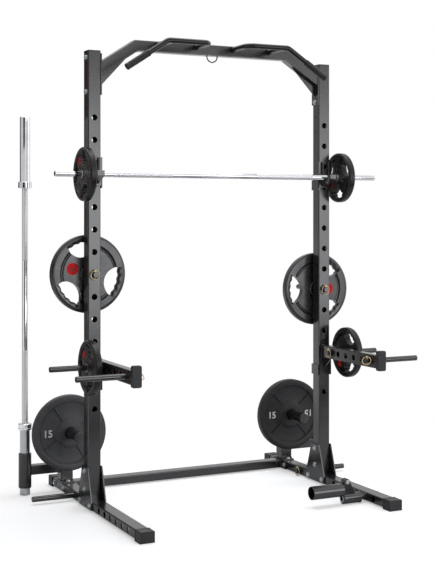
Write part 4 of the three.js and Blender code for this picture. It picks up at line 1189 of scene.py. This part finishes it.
def build_grip_plate(node_name, axis, spin, badge, number, rubber):
    """A rubber plate with three hand openings. The spin and badge are seen from its near face."""
    half = span(node_name, "xyz".index(axis)) / 2
    radius = span(node_name, 2) / 2
    web = half * 0.86
    groove = half * 0.6
    shares = [
        (0.185, half * 0.94), (0.2, half * 0.9), (0.212, web - 2), (0.23, web - 2), (0.245, web),
        (0.672, web), (0.686, web - 0.8), (0.70, groove + 1), (0.712, groove), (0.732, groove),
        (0.75, groove + 1.5), (0.768, half * 0.95), (0.785, half), (0.915, half), (0.925, half * 0.985),
        (0.932, half * 0.93), (0.945, half * 0.91), (0.965, half * 0.87), (0.985, half * 0.78),
        (0.997, half * 0.64), (1, half * 0.5),
    ]
    front = [(PLATE_BORE, half * 0.94 - 1), (PLATE_BORE + 1, half * 0.94)]
    front += [(radius * share, height) for share, height in shares]
    disc = revolved(mirrored(front), axis, (0, 0), 120)
    outline = opening_outline(radius)
    turns = [spin + FULL * k / 3 for k in range(3)]
    cuts = [extruded(spun(outline, turn), axis, (-half * 1.3, half * 1.3)) for turn in turns]
    cuts += [handle_cut(axis, radius, half, turn, out) for turn in turns for out in (-1, 1)]
    cuts = shift(joined(*cuts), middle(node_name))
    on_plate(node_name, "rubber", [disc], rubber, nodes=[node_name], cuts=cuts, edge=1.1)
    hub = pipe(axis, PLATE_BORE + 6.5, PLATE_BORE - 0.3, (-half * 0.955, half * 0.955), (0, 0), 0.8, 48)
    on_plate(node_name, "hub", [hub], STEEL)
    badge_radius = radius * (0.155 if axis == "y" else 0.125)
    spot = (badge[0] * radius * math.cos(badge[1]), badge[0] * radius * math.sin(badge[1]))
    discs, badge_numbers, marks = [], [], []
    for facing in (-1, 1):
        ends = ordered(facing * (web - 1), facing * (web + 0.9))
        discs.append(rod(axis, badge_radius, ends, spot, 0.5, 40))
        size = badge_radius * (1.0 if len(number) > 1 else 1.3)
        badge_numbers.append(lettered(number, size, axis, facing, spot, badge[1], web + 0.7, 0.9))
        for turn in turns:
            along = turn + FULL / 6
            if abs(math.remainder(along - badge[1], FULL)) > 0.5:
                at = (0.47 * radius * math.cos(along), 0.47 * radius * math.sin(along))
                marks.append(lettered(number, radius * 0.17, axis, facing, at, along, web - 0.2, 1.2))
    on_plate(node_name, "badges", discs, RED)
    on_plate(node_name, "badge_numbers", badge_numbers, DARK_MARK)
    on_plate(node_name, "marks", marks, rubber)


def lettered(words, size, axis, facing, spot, turn, lift_to, depth):
    """A plain raised number on a face that looks along facing (-1 or +1) on the axis."""
    curve = bpy.data.curves.new("number", "FONT")
    curve.body = words
    curve.size = size
    curve.extrude = depth / 2
    curve.bevel_depth = 0.2
    curve.align_x = "CENTER"
    curve.align_y = "CENTER"
    curve.offset = 0.015 * size
    holder = added("number_curve", curve)
    mesh = bpy.data.meshes.new_from_object(holder.evaluated_get(bpy.context.evaluated_depsgraph_get()))
    bpy.data.objects.remove(holder)
    shape = [tuple(v.co) for v in mesh.vertices], [list(face.vertices) for face in mesh.polygons]
    bpy.data.meshes.remove(mesh)
    yaw = {("y", -1): 0, ("y", 1): math.pi, ("x", -1): -QUARTER, ("x", 1): QUARTER}[axis, facing]
    face = Matrix.Rotation(yaw, 4, "Z")
    normal = face @ Vector((0, -1, 0))
    clockwise = (axis, facing) in (("y", -1), ("x", 1))
    spin = Matrix.Rotation(-turn if clockwise else turn, 4, normal)
    place = Vector(lift(axis, spot[0], spot[1], facing * lift_to))
    return turned(shape, Matrix.Translation(place) @ spin @ face @ Matrix.Rotation(QUARTER, 4, "X"))


def build_iron_plate(name, spin, number_turns, casting):
    node_name = f"horn_plate_{name}"
    half = span(node_name, 1) / 2
    radius = span(node_name, 2) / 2
    rim = half * 0.86
    web = half * 0.42
    bore = IRON_BORE
    shares = [
        (0.30, rim), (0.335, rim * 0.98), (0.36, rim * 0.86), (0.395, web + 1), (0.42, web), (0.79, web),
        (0.805, web + 0.8), (0.83, rim * 0.93), (0.845, rim), (0.965, rim), (0.985, rim * 0.96),
        (0.997, rim * 0.86), (1, rim * 0.7),
    ]
    front = [(bore, half - 1.5), (bore + 1.5, half), (bore + 7, half), (bore + 8.5, half * 0.9)]
    front += [(radius * share, height) for share, height in shares]
    disc = revolved(mirrored(front), "y", (0, 0), 144)
    on_plate(node_name, "casting", [disc], casting, nodes=[node_name], sharp=50)
    ribs = []
    for k in range(4):
        turn = spin + QUARTER * k
        outline = [(radius * 0.36, -4), (radius * 0.82, -4), (radius * 0.82, 4), (radius * 0.36, 4)]
        ribs.append(extruded(spun(outline, turn), "y", (-half * 0.68, half * 0.68)))
    on_plate(node_name, "ribs", ribs, casting, edge=1.8, rounds=3)
    edges = []
    for face in (-1, 1):
        ends = ordered(face * (web - 0.5), face * (web + 0.9))
        edges.append(pipe("y", radius * 0.80, radius * 0.79, ends, (0, 0), 0.3, 96))
    on_plate(node_name, "edges", edges, casting)
    numbers = []
    for k, turn in enumerate(number_turns):
        for facing in (-1, 1):
            spot = (radius * 0.6 * math.cos(turn) * -facing, radius * 0.6 * math.sin(turn))
            numbers.append(lettered("15", IRON_NUMBER, "y", facing, spot, math.pi * k, web + 0.4, 1.2))
    on_plate(node_name, "numbers", numbers, NUMBER)


# Floor swivel
def build_swivel():
    y = RACK_Y + SWIVEL_Y
    at = (y, RAIL_MIDDLE)
    low, high = reach("swivel_clevis", 0)
    pin_low, pin_high = reach("swivel_pin", 0)
    rail_out = RIGHT_X + RAIL_WIDE / 2
    inner = RIGHT_X - UPRIGHT / 2
    washer_end = low - SEAT
    pin = joined(
        rod("x", PIN_RADIUS, (washer_end - 3, pin_high - 0.4), at, 1.2, 48),
        hex_head("x", (rail_out, rail_out + SWIVEL_HEAD_TALL), at, SWIVEL_HEAD),
        rod("x", SWIVEL_HEAD, (inner - PLATE, inner), at, 1.0, 48),
    )
    build("swivel_pin_bar", pin, COAT, ["swivel_pin"], sharp=30)
    washer = joined(
        rod("x", SWIVEL_WASHER, (washer_end - 3, washer_end), at, 0.4, 40),
        hex_head("x", (washer_end - 3, pin_low + 0.2), at),
    )
    build("swivel_pin_washer", washer, ZINC, sharp=30)
    sleeve = joined(
        pipe("x", SWIVEL_RADIUS, PIN_RADIUS + SEAT, (low, high), at, 1.0, 72),
        pipe("x", SWIVEL_LIP_RADIUS, PIN_RADIUS + SEAT, (high - SWIVEL_LIP, high), at, 1.2, 72),
    )
    build("swivel_clevis_sleeve", sleeve, COAT, ["swivel_clevis"], body="swivel")
    pivot = (RACK_X + PIVOT_X, PIVOT_Z)
    ear = [(RACK_X + x, EAR_FOOT) for x in EAR_ENDS] + arc(pivot, EAR_RADIUS, QUARTER / 4, math.pi, 18)
    gap = LUG_THICK / 2 + SEAT
    ears = [extruded(ear, "y", ordered(y + s * gap, y + s * (gap + EAR_THICK))) for s in (-1, 1)]
    build("swivel_clevis_ears", joined(*ears), COAT, edge=0.9, body="swivel")
    tube_low, _ = reach("swivel_tube", 0)
    tube_high = RACK_X + TUBE_END
    plate_in = tube_high - PLATE
    tube = joined(
        pipe("x", TUBE_RADIUS, TUBE_RADIUS - WALL, (tube_low, tube_high - 1), (y, TUBE_Z), 1.0, 80),
        rod("x", TUBE_RADIUS - 0.4, (plate_in, tube_high), (y, TUBE_Z), 1.0, 80),
    )
    build("swivel_tube_pipe", tube, COAT, ["swivel_tube"], body="swivel_tube")
    rounding = arc(pivot, EAR_RADIUS, -QUARTER, QUARTER * 1.5, 20)
    lug = [(plate_in, LUG_ENDS[0]), *rounding, (plate_in, LUG_ENDS[1])]
    build("swivel_tube_lug", extruded(lug, "y", (y - LUG_THICK / 2, y + LUG_THICK / 2)), COAT,
          edge=0.9, body="swivel_tube")
    face = LUG_THICK / 2 + SEAT + EAR_THICK
    heads = [hex_head("y", (y + s * face, y + s * (face + PIVOT_HEAD_TALL)), pivot) for s in (-1, 1)]
    bolt = rod("y", BOLT_RADIUS, (y - face - 1, y + face + 1), pivot, 0.5)
    build("swivel_bolt_heads", joined(*heads, bolt), ZINC, ["swivel_bolt"], body="swivel", sharp=30)


def turn_z(angle):
    return Matrix.Rotation(angle, 4, "Z")


for side_name, side_sign in SIDES.items():
    build_rail(side_name, side_sign)
    build_foot_cap(side_name, "front")
    build_foot_cap(side_name, "rear")
    build_upright(side_name, side_sign)
    build_gusset(side_name, side_sign, "outer")
    build_gusset(side_name, side_sign, "inner")
    build_rear_post(side_name, side_sign)
    build_grip(side_name, side_sign)
    build_hook(side_name, side_sign)
    build_arm(side_name, side_sign)
    build_peg(f"arm_{side_name}_near", turn_z(0))
    build_peg(f"base_{side_name}", turn_z(0))
    build_peg(f"back_{side_name}", turn_z(QUARTER))
    build_peg(
        f"arm_{side_name}_far",
        turn_z(side_sign * math.radians(45)) @ Matrix.Rotation(side_sign * math.radians(41), 4, "Y"),
    )
build_crossmember()
build_beam()
build_barbell()
build_long_bar()


def from_left(degrees):
    """An angle seen from the rack's left end, where the front lies to the right."""
    return math.pi - math.radians(degrees)


# The four small plates take the shaded rubber, which paints shade into their colour.
build_grip_plate("bar_plate_left", "x", from_left(55), (0.53, from_left(115)), "5", SHADED_RUBBER)
build_grip_plate("bar_plate_right", "x", from_left(30.7), (0.53, from_left(210)), "5", SHADED_RUBBER)
build_grip_plate("arm_plate_left", "x", from_left(60.7), (0.53, from_left(120)), "5", SHADED_RUBBER)
build_grip_plate("arm_plate_right", "x", from_left(60.7), (0.6, from_left(235)), "5", SHADED_RUBBER)
build_grip_plate("back_plate_left", "y", math.radians(103.5), (0.45, math.radians(162.5)), "10", RUBBER)
build_grip_plate("back_plate_right", "y", math.radians(60.7), (0.38, 0.0), "10", RUBBER)
# Both horn plates are the same cast iron; the right one takes the shaded copy, which paints shade into its
# colour.
build_iron_plate("left", math.radians(31), (math.pi,), IRON)
build_iron_plate("right", math.radians(41), (math.pi, 0.0), SHADED_IRON)
build_swivel()


# Floor, cards, lamps and camera
def white_for(tree, rays, target, entry):
    """Gives an input one for the rays that should find white behind the rack, and nought for the rest."""
    path = tree.nodes.new("ShaderNodeLightPath")
    total = path.outputs[rays[0]]
    for ray in rays[1:]:
        more = node(tree, "ShaderNodeMath", operation="MAXIMUM")
        tree.links.new(total, more.inputs[0])
        tree.links.new(path.outputs[ray], more.inputs[1])
        total = more.outputs[0]
    tree.links.new(total, target.inputs[entry])


def sheet(name, corners, material_name, constants):
    """A flat piece of the studio with a material of its own, whose tree and shader come back too."""
    mesh = bpy.data.meshes.new(name)
    mesh.from_pydata(corners, [], [(0, 1, 2, 3)])
    material, tree, shader = principled(material_name, constants)
    mesh.materials.append(material)
    return added(name, mesh), tree, shader


def show(tree, shader, other):
    """Mixes the shader with another one on the surface, and gives the mix for its factor."""
    mix = tree.nodes.new("ShaderNodeMixShader")
    link = linker(tree)
    link(shader, 0, mix, 1)
    link(other, 0, mix, 2)
    link(mix, 0, tree.nodes["Material Output"], "Surface")
    return mix


def build_stage():
    """A pale floor that keeps the shadow near the rack and runs out into plain white."""
    out = FLOOR_HALF
    corners = [(-out, -out, 0), (out, -out, 0), (out, out, 0), (-out, out, 0)]
    constants = {"Roughness": 0.9, "Specular IOR Level": 0.1, "Emission Strength": FLOOR_GLOW}
    floor, tree, shader = sheet("floor", corners, "floor_paper", constants)
    speckle = use_group(tree, GRAIN, {"Fine": 60.0, "Slow": 2.0, "Depth": 0.02})
    tone = use_group(tree, TWO_TONE, {
        "Tone A": (0.93, 0.93, 0.93, 1), "Tone B": (0.95, 0.95, 0.95, 1), "Rough A": 0.88, "Rough B": 0.92,
    })
    place = node(tree, "ShaderNodeTexCoord")
    away = node(tree, "ShaderNodeVectorMath", operation="LENGTH")
    fade = node(tree, "ShaderNodeMapRange", {"From Min": FLOOR_FADE[0], "From Max": FLOOR_FADE[1]},
                interpolation_type="SMOOTHSTEP")
    both = node(tree, "ShaderNodeMath", operation="MULTIPLY")
    glow = node(tree, "ShaderNodeMix", {6: (0, 0, 0, 1), 7: WHITE}, data_type="RGBA")
    white = node(tree, "ShaderNodeEmission", {"Color": WHITE, "Strength": 1.0})
    mix = show(tree, shader, white)
    white_for(tree, ("Is Camera Ray",), glow, 0)
    white_for(tree, WHITE_RAYS, both, 1)
    link = linker(tree)
    link(speckle, "Drift", tone, "Mask")
    link(tone, "Color", shader, "Base Color")
    link(glow, 2, shader, "Emission Color")
    link(place, "Object", away, 0)
    link(away, "Value", fade, "Value")
    link(fade, "Result", both, 0)
    link(both, 0, mix, "Fac")


def build_card(name, corner, along, across, color):
    """A dark card that only shows in reflections: the camera finds white floor there, or looks through."""
    corner, along, across = Vector(corner), Vector(along), Vector(across)
    corners = [corner, corner + along, corner + along + across, corner + across]
    card, tree, shader = sheet(name, corners, name, {"Base Color": color, "Roughness": 0.9})
    if across.z:
        clear = node(tree, "ShaderNodeBsdfTransparent", {"Color": WHITE})
    else:
        clear = node(tree, "ShaderNodeEmission", {"Color": WHITE, "Strength": 1.0})
    white_for(tree, ("Is Camera Ray",), show(tree, shader, clear), "Fac")


def ramp(tree, low, high, least, most):
    return node(tree, "ShaderNodeMapRange", {
        "From Min": low, "From Max": high, "To Min": least, "To Max": most,
    })


def build_world():
    """White behind the rack, dimmer in reflections of the left, and a fill that comes less from there."""
    world = bpy.data.worlds.new("studio")
    world.use_nodes = True
    bpy.context.scene.world = world
    tree = world.node_tree
    tree.nodes.clear()
    out = tree.nodes.new("ShaderNodeOutputWorld")
    seen = node(tree, "ShaderNodeBackground", {"Color": WHITE, "Strength": 1.0})
    shone = node(tree, "ShaderNodeBackground", {"Color": WHITE})
    fill = node(tree, "ShaderNodeBackground", {"Color": (0.97, 0.98, 1.0, 1)})
    first = tree.nodes.new("ShaderNodeMixShader")
    second = tree.nodes.new("ShaderNodeMixShader")
    look = node(tree, "ShaderNodeTexCoord")
    split = node(tree, "ShaderNodeSeparateXYZ")
    side = ramp(tree, -0.8, 0.6, 0.3, 1.0)
    dim = ramp(tree, -0.45, 0.1, 0.75, 1.0)
    far = ramp(tree, 0.3, 0.9, 1.0, 0.75)
    both = node(tree, "ShaderNodeMath", operation="MULTIPLY")
    level = node(tree, "ShaderNodeMath", {1: FILL}, operation="MULTIPLY")
    link = linker(tree)
    link(look, "Generated", split, "Vector")
    link(split, "X", side, "Value")
    link(split, "X", dim, "Value")
    link(split, "Y", far, "Value")
    link(side, "Result", level, 0)
    link(level, 0, fill, "Strength")
    link(dim, "Result", both, 0)
    link(far, "Result", both, 1)
    link(both, 0, shone, "Strength")
    white_for(tree, ("Is Glossy Ray",), first, "Fac")
    link(fill, 0, first, 1)
    link(shone, 0, first, 2)
    white_for(tree, ("Is Camera Ray", "Is Transmission Ray"), second, "Fac")
    link(first, 0, second, 1)
    link(seen, 0, second, 2)
    link(second, 0, out, "Surface")


def build_lamp(name, place, aim, size, power):
    light = bpy.data.lights.new(name, "AREA")
    light.color = LAMP_COLOR
    light.shape = "RECTANGLE"
    light.size, light.size_y = size
    light.energy = power
    lamp = added(name, light)
    lamp.location = place
    lamp.rotation_euler = (Vector(aim) - Vector(place)).to_track_quat("-Z", "Y").to_euler()


def build_camera():
    """The photograph's viewpoint: level, turned right of the rack's depth, framed by a lens shift."""
    data = bpy.data.cameras.new("camera")
    data.sensor_width = 36
    data.lens = LENS
    data.shift_y = LENS_SHIFT
    camera = added("camera", data)
    camera.location = CAMERA_AT
    camera.rotation_euler = (QUARTER, 0, CAMERA_TURN)
    bpy.context.scene.camera = camera


build_stage()
for card_name, card_sides in CARDS.items():
    build_card(card_name, *card_sides)
build_world()
for lamp_name, lamp_settings in LAMPS.items():
    build_lamp(lamp_name, *lamp_settings)
build_camera()
bpy.context.scene.view_settings.view_transform = "Standard"
